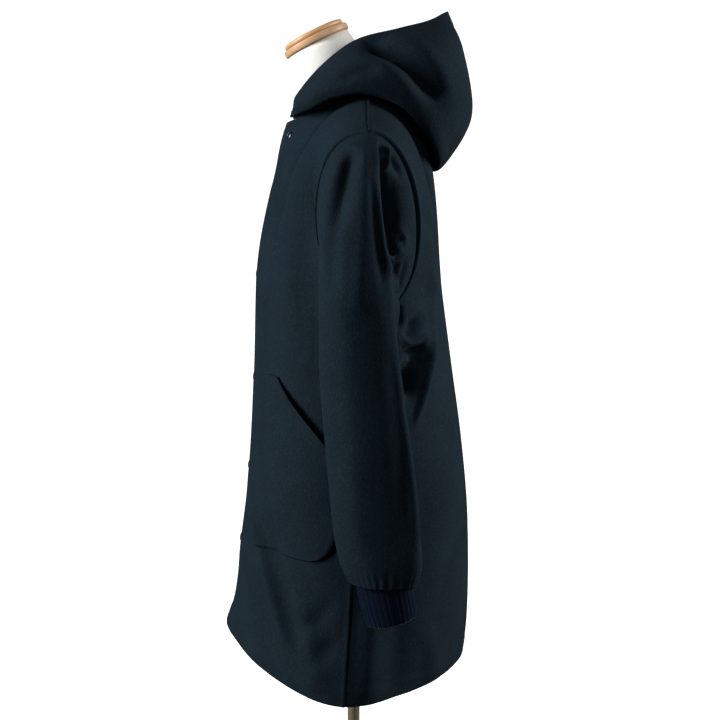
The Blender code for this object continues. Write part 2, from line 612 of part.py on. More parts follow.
def make_sleeve(halves):
    """Both sleeves: the left one, and its mirror image."""
    hole, hole_normals = armhole(halves)
    centre = (hole.max(0) + hole.min(0)) / 2
    half = (hole.max(0) - hole.min(0)) / 2
    angles = np.arctan2((hole[:, 1] - centre[1]) / half[1], (hole[:, 2] - centre[2]) / half[2])
    rows = []
    for stop in SLEEVE_ROWS:
        ring = sleeve_ring(max(stop, 0), angles)
        share = ease(stop, *SLEEVE_PARTS)
        rows.append((1 - share) * hole + share * ring)
    beyond = away_from(hole, hole_normals, tangents(hole, 0, closed=True), centre - hole)
    start, start_normals = sewn_on(hole, hole_normals, rows[0], beyond)
    rows.append(cuff_ring("top", angles, CUFF_EASE) + (0, 0, CUFF_LIFT))
    end = cuff_ring("top", angles, -CUFF_HOLD) + (0, 0, SEAM)
    outer = np.stack([start, *rows, end])
    normals = normals_of(outer, round_about=True)
    middle = outer.mean(axis=1, keepdims=True)
    if ((outer - middle) * normals).sum() < 0:
        normals = -normals
    normals[0] = start_normals
    normals[-1] = (0, 0, -1)
    thickness = np.full(len(outer), WALL)
    thickness[-2:] = TURN_WALL
    inner = outer - normals * thickness[:, None, None]
    wall_solid("sleeve_left", outer, inner, WOOL, round_about=True)
    wall_solid("sleeve_right", mirrored(outer), mirrored(inner), WOOL, round_about=True)


def make_cuffs():
    """Both cuffs, with ribs raised on the outside of a plain wall."""
    angles = np.arange(2 * CUFF_RIBS) * math.pi / CUFF_RIBS
    ribs = RIB_HEIGHT * (np.arange(2 * CUFF_RIBS) % 2)
    outer = []
    inner = []
    for name, share, held in RIB_ROWS:
        outer.append(cuff_ring(name, angles, ribs * share - RIB_HEIGHT * held))
        inner.append(cuff_ring(name, angles, -CUFF_WALL))
    outer = np.array(outer)
    inner = np.array(inner)
    wall_solid("cuff_left", outer, inner, KNIT, round_about=True)
    wall_solid("cuff_right", mirrored(outer), mirrored(inner), KNIT, round_about=True)


# ---- the hood ------------------------------------------------------------------------------------
HOOD_STOPS = (0, 0.5, 1, 1.5, 2, 2.35, 2.7, 3, 3.5, 4, 4.5, 5, 6)
HOOD_OVERHANG = slice(5, 11)   # the stops from the belly to the tuck, which lie over the shoulders


def neckline(halves):
    """Points round the left half of the neckline, and the cloth's normals there."""
    parts = []
    for key, order in (("left", 1), ("back", -1)):
        grid, normals = halves[key]
        steps = slice(0, len(NECK_STEPS))
        rows = [grid[-1, steps], normals[-1, steps]]
        parts.append([row[::order] for row in rows])
    first = int(np.argmin(np.abs(NECK_STEPS / NECK_SHARE - HOOD_FRONT_END)))
    return [np.concatenate([front[first:], back[1:]]) for front, back in zip(*parts)]


def kept_clear(points, tree, gap):
    """Moves points out to at least a gap from the cloth below them."""
    moved = points.copy()
    for place in np.ndindex(points.shape[:-1]):
        near, normal, _, _ = tree.find_nearest(Vector(points[place]))
        depth = (Vector(points[place]) - near).dot(normal)
        if depth < gap and (Vector(points[place]) - near).length < HOOD_NEAR:
            moved[place] += np.array(normal * (gap - depth))
    return moved


def cloth_tree(grids):
    """A search tree over grids of points whose normals face out of the coat."""
    points, faces = [], []
    for grid in grids:
        rows, columns = grid.shape[:2]
        base = len(points)
        points += [Vector(p) for p in grid.reshape(-1, 3)]
        for i in range(rows - 1):
            for j in range(columns - 1):
                a = base + i * columns + j
                faces.append((a, a + 1, a + columns + 1, a + columns))
    return BVHTree.FromPolygons(points, faces)


def make_hood(halves):
    """Both halves of the hood, which meet on the centre seam."""
    edge, edge_normals = neckline(halves)
    along = tangents(edge, 0)
    along[-1] = (-1, 0, 0)
    beyond = away_from(edge, edge_normals, along, NECK_MIDDLE - edge)
    shares = np.concatenate([[0], np.cumsum(np.linalg.norm(np.diff(edge, axis=0), axis=1))])
    shares /= shares[-1]
    table = np.array(HOOD)
    sections = curve_at(np.linspace(HOOD_HOLD, 1, len(table)), table, shares)
    grown = ease(shares, *HOOD_GROWS)[:, None]
    stand = edge + unit(beyond + edge_normals * STAND_LEAN) * STAND_HEIGHT * grown
    over = stand + edge_normals * STAND_TURN * grown
    chains = np.concatenate([sections, over[:, None], stand[:, None]], axis=1)
    grid = np.stack([curve_at(np.arange(7.0), chain, HOOD_STOPS) for chain in chains])
    tree = cloth_tree([halves["left"][0], halves["back"][0][:, ::-1]])
    grid[:, HOOD_OVERHANG] = kept_clear(grid[:, HOOD_OVERHANG], tree, HOOD_CLEAR)
    start, start_normals = sewn_on(edge, edge_normals, grid[:, -1], beyond)
    outer = np.concatenate([grid, start[:, None]], axis=1)
    normals = normals_of(outer)
    if (normals[:, 2, 0]).sum() < 0:
        normals = -normals
    normals[:, -1] = start_normals
    normals[-1, :, 0] = 0
    normals = unit(normals)
    outer[-1, :, 0] = SEAM / 2
    inner = outer - normals * WALL
    inner[-1, :, 0] = SEAM / 2
    wall_solid("hood_left", outer, inner, WOOL)
    wall_solid("hood_right", mirrored(outer), mirrored(inner), WOOL)


# ---- pockets and snaps -----------------------------------------------------------------------------
def on_front(grid, shares, share, height):
    """A point of a front's grid at this share across, at this height."""
    column = np.array([[np.interp(share, shares[i], row[:, k]) for k in range(3)]
                       for i, row in enumerate(grid)])
    return np.array([np.interp(height, column[:, 2], column[:, k]) for k in range(3)])


def make_pockets(halves):
    """Both patch pockets: the panel's own points, moved out."""
    grid, _ = halves["left"]
    shares = front_shares(-LAP_SHARE, OPEN_SHARE_LEFT)
    below = RISES <= 1
    across = np.linspace(0, 1, POCKET_STEPS)
    patch = np.array([[on_front(grid[below], shares[below], front + (back - front) * t, z)
                       for t in across] for z, front, back in POCKET_EDGE])
    normals = normals_of(patch)
    heights = np.array([z for z, _, _ in POCKET_EDGE])[:, None]
    gape = ease(heights, *MOUTH_OPENS) * (1 - ease(heights, *MOUTH_CLOSES)) * across**3
    lift = (POCKET_LIFT + MOUTH_GAPE * gape)[:, :, None]
    inner = patch + normals * lift
    outer = inner + normals * WALL
    wall_solid("pocket_left", outer, inner, WOOL)
    wall_solid("pocket_right", mirrored(outer), mirrored(inner), WOOL)


def make_snaps(halves):
    """Snap caps on the left front, and the open snap's stud on the right front."""
    left, left_normals = halves["left"]
    tree = cloth_tree([left])
    dome = [(SNAP_RADIUS * radius, SNAP_HEIGHT * height) for radius, height in CAP_PROFILE]
    for number, (share, rise) in enumerate(SNAPS, start=1):
        point, normal = laid_on(*spot_on(left, left_normals, share, rise), tree)
        turned(f"snap_{number}", dome, point, normal, SNAP_METAL, sides=16)
    point, normal = laid_on(*spot_on(*halves["right"], *STUD), cloth_tree([halves["right"][0]]))
    turned("stud_1", STUD_PROFILE, mirrored(point), mirrored(normal), SNAP_METAL, sides=16)


def rim_hits(point, normal, tree):
    """Where rays on to the cloth under a snap meet it, as far as they do."""
    across = unit(np.cross(normal, (1.0, 0.0, 0.0)))
    other = np.cross(normal, across)
    found = []
    for angle in np.linspace(0, 2 * math.pi, 24, endpoint=False):
        for radius in (SNAP_RADIUS / 2, SNAP_RADIUS):
            place = point + radius * (math.cos(angle) * across + math.sin(angle) * other)
            hit = tree.ray_cast(Vector(place + normal * SNAP_SEARCH), Vector(-normal), 2 * SNAP_SEARCH)
            if hit[0] is not None:
                found.append(hit)
    return found


def laid_on(point, normal, tree):
    """Turns a snap to the cloth under it, then lifts its back until all of it clears that cloth."""
    turn = unit(np.sum([hit[1] for hit in rim_hits(point, normal, tree)], axis=0))
    normal = turn * np.sign(turn @ normal)
    lift = [SNAP_SEARCH - hit[3] for hit in rim_hits(point, normal, tree)]
    return point + normal * (max(lift) + SEAM), normal


def spot_on(grid, normals, distance, rise):
    """The point of a front this far from its front edge, at this rise, and the normal there."""
    place = np.interp(rise, RISES, np.arange(len(RISES)))
    row = min(int(place), len(RISES) - 2)
    share = place - row
    line = (1 - share) * grid[row] + share * grid[row + 1]
    turn = (1 - share) * normals[row] + share * normals[row + 1]
    along = np.concatenate([[0], np.cumsum(np.linalg.norm(np.diff(line, axis=0), axis=1))])
    point = np.array([np.interp(distance, along, line[:, k]) for k in range(3)])
    normal = np.array([np.interp(distance, along, turn[:, k]) for k in range(3)])
    return point, unit(normal)


# ---- the form and its stand ------------------------------------------------------------------------
def ellipse_ring(centre, half_x, half_y, tilt=0.0, square=2.0, sides=36):
    """A ring of points, tilted forwards about X."""
    angles = np.arange(sides) * 2 * math.pi / sides
    x = half_x * np.sign(np.cos(angles)) * np.abs(np.cos(angles)) ** (2 / square)
    y = half_y * np.sign(np.sin(angles)) * np.abs(np.sin(angles)) ** (2 / square)
    flat = np.stack([x, y * math.cos(tilt), y * math.sin(tilt)], axis=-1)
    return flat + np.asarray(centre)


def seated(rings, tree):
    """Draws the points of rings in until the surface through them clears the cloth round it."""
    points = np.array(rings)
    middles = points.mean(axis=1, keepdims=True)
    inwards = unit(middles - points) * SEAT_STEP
    for _ in range(SEAT_ROUNDS):
        too_near = np.zeros(points.shape[:2], bool)
        for down, beside in ((0, 0), (0, 1), (1, 0), (1, 1), (1, -1)):
            other = np.roll(points, -beside, axis=1)
            other = np.concatenate([other[down:], other[:down]])
            for share in (0, 0.25, 0.5, 0.75):
                between = points + (other - points) * share
                last = len(points) - down
                for i, j in np.ndindex(last, points.shape[1]):
                    place = Vector(between[i, j])
                    near, normal, _, far = tree.find_nearest(place)
                    if far < SEAT_REACH and (near - place).dot(normal) < SEAT_GAP:
                        too_near[i, j] = True
                        too_near[i + down, (j + beside) % points.shape[1]] = True
        if not too_near.any():
            break
        points += inwards * too_near[:, :, None]
    return list(points)


def make_form(halves):
    """The linen torso with its neck, the wooden cap, the pole and the foot."""
    table = np.array(list(FORM.values()))
    stops = np.linspace(0, 1, len(table))
    rings = []
    for place in np.linspace(0, 1, 12):
        row = dict(zip(FORM_COLUMNS, curve_at(stops, table, np.array([place]))[0]))
        centre = (0, (row["front"] + row["back"]) / 2, row["z"])
        deep = (row["back"] - row["front"]) / 2
        rings.append(ellipse_ring(centre, row["half"], deep, square=row["square"]))
    inner = [halves[key][0] - halves[key][1] * WALL for key in ("left", "right", "back")]
    tree = cloth_tree([inner[0], mirrored(inner[1])[:, ::-1], inner[2][:, ::-1], mirrored(inner[2])])
    for z, front, back, half, square in SHOULDER_RINGS:
        rings.append(ellipse_ring((0, (front + back) / 2, z), half, (back - front) / 2, square=square))
    for y, z, radius, tilt in NECK_RINGS:
        rings.append(ellipse_ring((0, y, z), radius, radius, math.radians(tilt)))
    rings = seated(rings, tree)
    axis = np.array((0, -math.sin(NECK_TILT), math.cos(NECK_TILT)))
    cap = np.array(CAP_CENTRE)
    rings.append(ellipse_ring(cap - axis * SEAM, NECK_TOP_RADIUS, NECK_TOP_RADIUS, NECK_TILT))
    stack_solid("form", rings, LINEN)
    turned("cap_lower", LOWER_DISC, cap, axis, WOOD, sides=40)
    turned("cap_upper", UPPER_DISC, cap + axis * (DISC_HEIGHT + SEAM), axis, WOOD, sides=40)
    up = (0, 0, 1)
    turned("pole", POLE_PROFILE, (0, 0, 0), up, PAINTED_STEEL, sides=24)
    turned("base", FOOT_PROFILE, (0, 0, 0), up, PAINTED_STEEL, sides=48)


def main():
    """Builds every piece."""
    for thing in list(bpy.data.objects):
        bpy.data.objects.remove(thing)
    halves = half_panels()
    make_body(halves)
    make_sleeve(halves)
    make_cuffs()
    make_hood(halves)
    make_pockets(halves)
    make_snaps(halves)
    make_form(halves)


main()
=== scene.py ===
# %% [markdown]
# # A hooded wool parka on a dress form stand
#
# This lesson dresses the plain CAD solids of a parka. The coat is made of heavy felted wool, so its
# panels are smooth and thick, with few, soft folds. Each cell makes one piece or one finish, and says
# what it is on the real coat. The coat's front faces -Y and the wearer's left side is +X.

# %% Load the solids
import math
import bmesh
import bpy
import numpy as np
from mathutils import Matrix, Vector
from mathutils.bvhtree import BVHTree


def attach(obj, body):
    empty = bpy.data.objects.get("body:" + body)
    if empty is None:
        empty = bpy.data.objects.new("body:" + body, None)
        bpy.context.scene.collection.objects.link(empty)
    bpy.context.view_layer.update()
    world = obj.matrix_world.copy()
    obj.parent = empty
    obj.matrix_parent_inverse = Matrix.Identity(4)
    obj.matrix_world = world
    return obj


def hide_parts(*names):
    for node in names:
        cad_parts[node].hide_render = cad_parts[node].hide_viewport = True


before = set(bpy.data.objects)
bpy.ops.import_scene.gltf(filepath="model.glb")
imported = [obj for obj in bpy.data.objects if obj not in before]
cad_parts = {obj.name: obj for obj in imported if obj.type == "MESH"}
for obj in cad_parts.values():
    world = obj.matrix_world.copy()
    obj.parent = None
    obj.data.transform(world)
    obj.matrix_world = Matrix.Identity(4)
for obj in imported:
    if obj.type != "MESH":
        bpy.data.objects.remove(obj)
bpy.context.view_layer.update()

# %% [markdown]
# The camera stands 1.75 m to the wearer's left, a little above the middle, and looks slightly down.
# With a 60 mm lens on a 36 mm sensor, the hem bulges down and the shoulders fall away as they do in
# a photograph taken from there. A longer lens further off would flatten both.

# %% Camera
CAMERA_PLACE = (1.75, 0.01, 1.3)
CAMERA_DROP = math.atan(210 / 1200)


def add_camera():
    """A camera on the wearer's left, tipped down a little."""
    data = bpy.data.cameras.new("camera")
    data.lens = 60
    data.sensor_width = 36
    camera = bpy.data.objects.new("camera", data)
    camera.location = CAMERA_PLACE
    towards = Vector((-math.cos(CAMERA_DROP), 0, -math.sin(CAMERA_DROP)))
    camera.rotation_euler = towards.to_track_quat("-Z", "Y").to_euler()
    bpy.context.scene.collection.objects.link(camera)
    bpy.context.scene.camera = camera
    return camera


print("camera at", tuple(add_camera().location))

# %% [markdown]
# Curves through a few named sizes are the base of every panel. A Hermite curve passes through all of
# them with no kinks, and `ease` gives the soft steps with which a fold starts and ends. A maker
# drafts a pattern in the same way, with a few measured points and a curved ruler between them.

# %% Curves and steps
def curve_at(stops, values, at):
    """A smooth curve through values given at stops, read at each place in at."""
    stops = np.asarray(stops, float)
    values = np.asarray(values, float)
    at = np.clip(np.asarray(at, float), stops[0], stops[-1])
    slopes = np.gradient(values, stops, axis=0)
    i = np.clip(np.searchsorted(stops, at, side="right") - 1, 0, len(stops) - 2)
    span = stops[i + 1] - stops[i]
    t = (at - stops[i]) / span
    if values.ndim > 1:
        extra = (1,) * (values.ndim - 1)
        span = span.reshape(span.shape + extra)
        t = t.reshape(t.shape + extra)
    keep = 2 * t**3 - 3 * t**2 + 1
    leave = (t**3 - 2 * t**2 + t) * span
    reach = 3 * t**2 - 2 * t**3
    arrive = (t**3 - t**2) * span
    return keep * values[i] + leave * slopes[i] + reach * values[i + 1] + arrive * slopes[i + 1]


def ease(x, low, high):
    """0 below low, 1 above high and a smooth step between them."""
    t = np.clip((np.asarray(x, float) - low) / (high - low), 0, 1)
    return t * t * (3 - 2 * t)


def unit(v):
    """Vectors of length one."""
    return v / np.maximum(np.linalg.norm(v, axis=-1, keepdims=True), 1e-12)


def read_off(at, along, values):
    """Rows of values read off at places along a line."""
    return np.stack([np.interp(at, along, values[:, k]) for k in range(3)], axis=-1)


def bezier(points, shares, fine=600):
    """Places on a cubic Bezier curve, evenly spread along its length."""
    a, b, c, d = (np.asarray(p, float) for p in points)
    t = np.linspace(0, 1, fine)[:, None]
    line = (1 - t) ** 3 * a + 3 * (1 - t) ** 2 * t * b + 3 * (1 - t) * t**2 * c + t**3 * d
    along = run_along(line, 0)
    return read_off(np.asarray(shares) * along[-1], along, line)


def tangents(grid, axis, closed=False):
    """Directions along one axis of a grid, halfway between the ways to both neighbours."""
    grid = np.moveaxis(grid, axis, 0)
    ahead = unit(np.roll(grid, -1, axis=0) - grid)
    if not closed:
        ahead[-1] = ahead[-2]
    behind = np.roll(ahead, 1, axis=0)
    if not closed:
        behind[0] = ahead[0]
    return np.moveaxis(unit(ahead + behind), 0, axis)


def normals_of(grid, round_about=False):
    """Unit normals of a grid of points."""
    return unit(np.cross(tangents(grid, 1, round_about), tangents(grid, 0)))


def mirrored(grid):
    """The same points on the wearer's other side."""
    return grid * np.array((-1.0, 1.0, 1.0))


def run_along(grid, axis):
    """How far each point of a grid is from the first one, along one axis."""
    lengths = np.cumsum(np.linalg.norm(np.diff(grid, axis=axis), axis=-1), axis=axis)
    start = np.zeros_like(np.take(lengths, [0], axis=axis))
    return np.concatenate([start, lengths], axis=axis)


def run_back(grid, axis):
    """How far each point of a grid is from the last one, along one axis."""
    along = run_along(grid, axis)
    return np.take(along, [-1], axis=axis) - along


print("halfway up a soft step:", float(ease(0.5, 0, 1)))

# %% [markdown]
# The body of the coat is three panels. Rings from the hem to the armpit give the flare and the round
# of the back, and above them the cloth rises to the neckline and the shoulder seam. A share runs
# from 0 at the centre to 1 at the side seam or armhole, and a rise from 0 at the hem to 2 on top.

# %% Sizes of the body
WALL = 0.002                # thickness of the wool
TURNED_WALL = 0.0013        # thickness of the sleeve's turned end, pressed flat on the cuff
SEAM = 0.0003               # gap between two sewn pieces
UNDERLAP = WALL + 0.0013    # how far the right front lies inside the left one
LAP = 0.025                 # how far each front passes the centre line
FRONT_WIDTH = 0.295         # from the centre to the side seam, along the cloth
LAP_SHARE = LAP / FRONT_WIDTH
CORNER_CURL = 0.006         # how far the open top corner of the left front curls out
NECK_SHARE = 0.48           # share of a top edge that is neckline, not shoulder
RING_COLUMNS = ("z_front", "z_side", "z_back", "front", "back", "seam_y", "half",
                "full_front", "full_back")
RINGS = {
    "hem":    (0.59, 0.55, 0.541, -0.194, 0.168, -0.01, 0.217, 0.38, 0.36),
    "flip":   (0.634, 0.604, 0.595, -0.181, 0.174, -0.007, 0.216, 0.45, 0.42),
    "thigh":  (0.72, 0.7, 0.69, -0.17, 0.175, -0.001, 0.214, 0.54, 0.5),
    "hip":    (0.805, 0.795, 0.79, -0.1585, 0.17, 0.003, 0.212, 0.58, 0.55),
    "waist":  (0.9, 0.895, 0.895, -0.1505, 0.1585, 0.008, 0.209, 0.6, 0.57),
    "ribs":   (1.0, 0.995, 0.995, -0.1455, 0.144, 0.014, 0.206, 0.61, 0.58),
    "armpit": (1.087, 1.087, 1.087, -0.1425, 0.131, 0.02, 0.204, 0.61, 0.58),
}
# share across the panel; its start upwards, along the ring and sideways; and how it arrives on top
RISE_FRONT = (
    (0.0, 0.26, 0.0, 0.0, 0.0, 0.05, 0.24),
    (0.3, 0.27, -0.03, 0.0, -0.02, 0.2, 0.18),
    (0.48, 0.28, -0.06, 0.0, -0.01, 0.3, 0.08),
    (0.8, 0.25, -0.1, -0.02, 0.02, 0.27, 0.05),
    (1.0, 0.04, -0.24, -0.06, 0.14, 0.3, 0.0),
)
RISE_BACK = (
    (0.0, 0.26, 0.0, 0.0, 0.0, -0.15, 0.17),
    (0.3, 0.27, -0.03, 0.0, -0.02, -0.23, 0.13),
    (0.48, 0.28, -0.06, 0.0, -0.01, -0.28, 0.07),
    (0.8, 0.25, -0.12, -0.02, 0.02, -0.25, 0.05),
    (1.0, 0.04, -0.3, -0.06, 0.14, -0.23, 0.0),
)
NECKLINE_FRONT = ((0.0, -0.091, 1.333), (0.045, -0.092, 1.335), (0.086, -0.04, 1.362))
NECKLINE_BACK = ((0.0, 0.066, 1.388), (0.045, 0.066, 1.388), (0.08, 0.048, 1.384))
SHOULDER_POINTS = ((0.088, 0.019, 1.375), (0.15, 0.019, 1.3545), (0.215, 0.02, 1.322))
NECK_STEPS = np.linspace(0, NECK_SHARE, 46)
SHOULDER_STEPS = np.append(np.linspace(NECK_SHARE, 0.982, 48)[1:], (0.988, 0.9925, 0.996, 0.998, 1.0))
STEPS = np.concatenate([NECK_STEPS, SHOULDER_STEPS])
RISES = np.concatenate([
    np.linspace(0, 1, 111)[:-1],
    1 + (1 - np.cos(np.linspace(0, math.pi, 87))) / 2,
])
OVER = RISES >= 1
UNDER = RISES <= 1
ON_SHOULDER = slice(len(NECK_STEPS) - 1, None)
print("points on a front:", len(STEPS) * len(RISES))

# %% Surfaces of the body
RING_TABLE = np.array(list(RINGS.values()))
RING_STOPS = np.linspace(0, 1, len(RINGS))


def ring_arc(rise, shares, back):
    """A quarter of the ring at this rise, centre to side seam, left half."""
    row = dict(zip(RING_COLUMNS, curve_at(RING_STOPS, RING_TABLE, np.array([rise]))[0]))
    centre_y = row["back"] if back else row["front"]
    centre_z = row["z_back"] if back else row["z_front"]
    full = row["full_back"] if back else row["full_front"]
    side_y = row["seam_y"] + full * (centre_y - row["seam_y"])
    corner = ((0, centre_y, centre_z), (full * row["half"], centre_y, centre_z),
              (row["half"], side_y, row["z_side"]), (row["half"], row["seam_y"], row["z_side"]))
    return bezier(corner, shares)


def top_edge(shares, back):
    """The neckline and the shoulder seam, from the centre to the shoulder tip."""
    line = NECKLINE_BACK if back else NECKLINE_FRONT
    on_neck = bezier((*line, SHOULDER_POINTS[0]), np.clip(shares / NECK_SHARE, 0, 1))
    part = np.clip((shares - NECK_SHARE) / (1 - NECK_SHARE), 0, 1)
    on_shoulder = curve_at((0, 0.5, 1), SHOULDER_POINTS, part)
    return np.where((shares <= NECK_SHARE)[:, None], on_neck, on_shoulder)


def panel_row(shares, rise, back):
    """A row of points on the coat's outer surface."""
    side = np.where(shares < 0, -1.0, 1.0)
    across = np.abs(shares)
    row = ring_arc(min(rise, 1.0), across, back)
    if rise > 1:
        t = rise - 1
        upwards = unit(row - ring_arc(0.985, across, back))
        sideways = unit(ring_arc(1.0, np.minimum(across + 0.01, 1), back)
                        - ring_arc(1.0, np.maximum(across - 0.01, 0), back))
        guide = np.array(RISE_BACK if back else RISE_FRONT)
        lead = curve_at(guide[:, 0], guide[:, 1:], across)
        start = upwards * lead[:, :1] + sideways * lead[:, 1:2]
        start[:, 0] += lead[:, 2]
        row = ((2 * t**3 - 3 * t**2 + 1) * row + (t**3 - 2 * t**2 + t) * start
               + (3 * t**2 - 2 * t**3) * top_edge(across, back) + (t**3 - t**2) * lead[:, 3:])
    row[:, 0] *= side
    return row


def front_shares(edge_below, edge_top):
    """Shares across a front for each row, from its front edge to the side seam."""
    start = edge_below + (edge_top - edge_below) * ease(RISES, 1.45, 2.0)
    return STEPS + start[:, None] * (1 - ease(STEPS, 0, 0.9 * NECK_SHARE))


def surface(shares, back):
    """A grid of points on the coat's outer surface, one row for each rise."""
    return np.stack([panel_row(row, rise, back) for row, rise in zip(shares, RISES)])


LEFT_SHARES = front_shares(-LAP_SHARE, 0.055)
RIGHT_SHARES = front_shares(-LAP_SHARE, 0.045)
BASE = {
    "left": surface(LEFT_SHARES, False),
    "right": surface(RIGHT_SHARES, False),
    "back": surface(np.tile(STEPS, (len(RISES), 1)), True),
}
print("left front is", round(float(run_along(BASE["left"], 0)[-1, 0]), 3), "m long at its front edge")

# %% [markdown]
# A fold in thick wool is a soft ridge or trough with a course of its own. Each one here is a curved
# path through three points, as seen from the side or from the front, with a half width and a height
# in metres. Its ends fade out, and one flank may be steeper, as where cloth tips over an edge. Cloth
# simulation would find folds too, but not these ones, and the photographed coat has few of them.

# %% Pressing folds into a surface
def pressed(grid, normals, folds, fade=1.0, seen=(1, 2)):
    """The grid with its folds: x1 z1 x2 z2 x3 z3 half-width height flank, as seen along one axis."""
    places = grid[..., seen]
    moved = np.zeros(grid.shape[:2])
    t = np.linspace(0, 1, 81)[:, None]
    for fold in folds:
        a, b, c = (np.array(fold[k:k + 2]) for k in (0, 2, 4))
        width, height, flank = fold[6:]
        line = (1 - t) * (1 - 2 * t) * a + 4 * t * (1 - t) * b + t * (2 * t - 1) * c
        near = (places[..., None, :] - line) ** 2
        pick = near.sum(-1).argmin(-1)
        away = places - line[pick]
        way = unit(np.gradient(line, axis=0))[pick]
        side = way[..., 0] * away[..., 1] - way[..., 1] * away[..., 0]
        wide = width * np.where(side * flank > 0, 1 - abs(flank), 1.0)
        full = 1 - (2 * pick / (len(line) - 1) - 1) ** 4
        off = np.sqrt((away**2).sum(-1)) / wide
        moved += height * np.exp(-off**2) * (0.15 + 0.85 * full)
    return grid + normals * (moved * fade)[..., None]


def shifted(folds, seed, amount=0.006):
    """Folds like those given, each a little elsewhere and a little stronger or weaker."""
    dice = np.random.default_rng(seed)
    new = []
    for fold in folds:
        moves = dice.uniform(-amount, amount, 6)
        size = dice.uniform(0.75, 1.2, 2)
        places = [value + move for value, move in zip(fold[:6], moves)]
        new.append((*places, fold[6] * size[0], fold[7] * size[1], fold[8]))
    return tuple(new)


def evened(values, spread, closed=True):
    """Points or normals evened out over this many neighbours along the first axis."""
    steps = np.arange(-3 * spread, 3 * spread + 1)
    shares = np.exp(-0.5 * (steps / spread) ** 2)
    count = len(values)
    total = np.zeros_like(values)
    for step, share in zip(steps, shares / shares.sum()):
        places = np.arange(count) + step
        total += share * values[places % count if closed else np.clip(places, 0, count - 1)]
    return total


print("a fold's profile at half its width:", round(math.exp(-0.25), 2))

# %% [markdown]
# These are the folds of the fronts and the back. The back has a broad dent below the armhole where
# the sleeve pushes it in, with a lit ridge round it, and the fronts have the long, shallow waves of a
# flared hem. The wearer's right side has similar ones, not the same ones.

# %% Folds of the body
FOLDS_BACK = (
    (0.104, 1.275, 0.106, 1.16, 0.1115, 1.045, 0.006, 0.0045, 0.0),
    (0.111, 1.045, 0.102, 1.005, 0.083, 0.938, 0.0055, 0.0085, -0.4),
    (0.067, 1.049, 0.086, 1.049, 0.104, 1.052, 0.005, 0.009, -0.5),
    (0.072, 1.032, 0.088, 1.034, 0.1035, 1.037, 0.0068, -0.024, 0.0),
    (0.098, 1.03, 0.086, 1.008, 0.074, 0.975, 0.0085, -0.021, 0.0),
    (0.072, 1.028, 0.074, 1.008, 0.072, 0.98, 0.01, -0.016, 0.0),
    (0.084, 1.08, 0.081, 1.066, 0.071, 1.056, 0.009, -0.013, 0.0),
    (0.06, 1.1, 0.0605, 1.085, 0.062, 1.07, 0.005, -0.007, 0.0),
    (0.15, 0.76, 0.14, 0.66, 0.146, 0.56, 0.02, -0.004, 0.0),
    (0.07, 0.7, 0.06, 0.62, 0.062, 0.545, 0.018, -0.0055, 0.0),
    (0.03, 0.72, 0.024, 0.64, 0.022, 0.548, 0.014, 0.0045, 0.0),
    (0.13, 0.9, 0.12, 0.8, 0.112, 0.7, 0.02, 0.003, 0.0),
    (0.105, 0.64, 0.112, 0.59, 0.11, 0.545, 0.012, 0.004, 0.0),
)
FOLDS_FRONT = (
    (-0.144, 0.835, -0.124, 0.735, -0.088, 0.62, 0.009, 0.008, 0.4),
    (-0.118, 0.8, -0.098, 0.71, -0.068, 0.61, 0.014, -0.008, 0.0),
    (-0.075, 0.7, -0.06, 0.63, -0.05, 0.565, 0.016, 0.006, 0.0),
    (-0.025, 0.705, -0.048, 0.672, -0.078, 0.65, 0.012, -0.003, 0.0),
    (-0.02, 0.645, -0.042, 0.622, -0.064, 0.595, 0.013, -0.0035, 0.0),
    (-0.045, 1.287, -0.046, 1.249, -0.053, 1.19, 0.011, -0.006, 0.0),
    (-0.078, 1.245, -0.062, 1.135, -0.048, 1.02, 0.026, -0.014, 0.0),
    (-0.075, 1.3, -0.078, 1.24, -0.086, 1.17, 0.016, 0.003, 0.0),
    (-0.12, 1.12, -0.118, 1.04, -0.128, 0.96, 0.022, -0.003, 0.0),
    (-0.066, 1.16, -0.06, 1.08, -0.064, 1.0, 0.012, 0.0025, 0.0),
    (-0.16, 0.7, -0.165, 0.64, -0.16, 0.585, 0.012, -0.003, 0.0),
)
print("folds in the fronts and back:", len(FOLDS_FRONT), len(FOLDS_BACK))

# %% Fronts and back with their seams and folds
HOLE_SPREAD = 9             # neighbours over which the cloth's turn along the armhole is evened out
CALM_SPREAD = 6             # rows over which it is evened out before the folds are pressed in


def sewn_normals():
    """Normals of the three panels, alike where two of them are sewn together."""
    made = {name: normals_of(grid) * (-1 if name == "back" else 1) for name, grid in BASE.items()}
    common = unit(made["left"][UNDER, -1] + made["back"][UNDER, -1])
    top = unit(made["left"][-1, ON_SHOULDER] + made["back"][-1, ON_SHOULDER])
    for kept in made.values():
        kept[UNDER, -1] = common
        kept[-1, ON_SHOULDER] = top
    for key in ("right", "left"):
        columns = [made[name][OVER, -1] + made[name][OVER, -7] for name in (key, "back")]
        loop = unit(evened(np.concatenate([columns[0][::-1], columns[1][1:-1]]), HOLE_SPREAD))
        made[key][OVER, -1] = loop[:len(columns[0])][::-1]
    made["back"][OVER, -1] = np.concatenate([loop[len(columns[0]) - 1:], loop[:1]])
    return made


NORMALS = sewn_normals()
EDGE_FADE = ease(STEPS, -0.05, 0.06) * ease(1 - STEPS, 0, 0.05)
TOP_FADE = ease(2 - RISES, 0, 0.12)
FADE = EDGE_FADE[None, :] * TOP_FADE[:, None]
print("evened normals at the armpit:", NORMALS["left"][OVER, -1][0].round(2))

# %% [markdown]
# A seam in thick wool shows as a fine groove with a low welt on the side where the seam allowance
# lies underneath. Both are made from the distance to the edge, measured over the cloth. The hem and
# the front edges are turned in, so a band beside them is a little thicker.

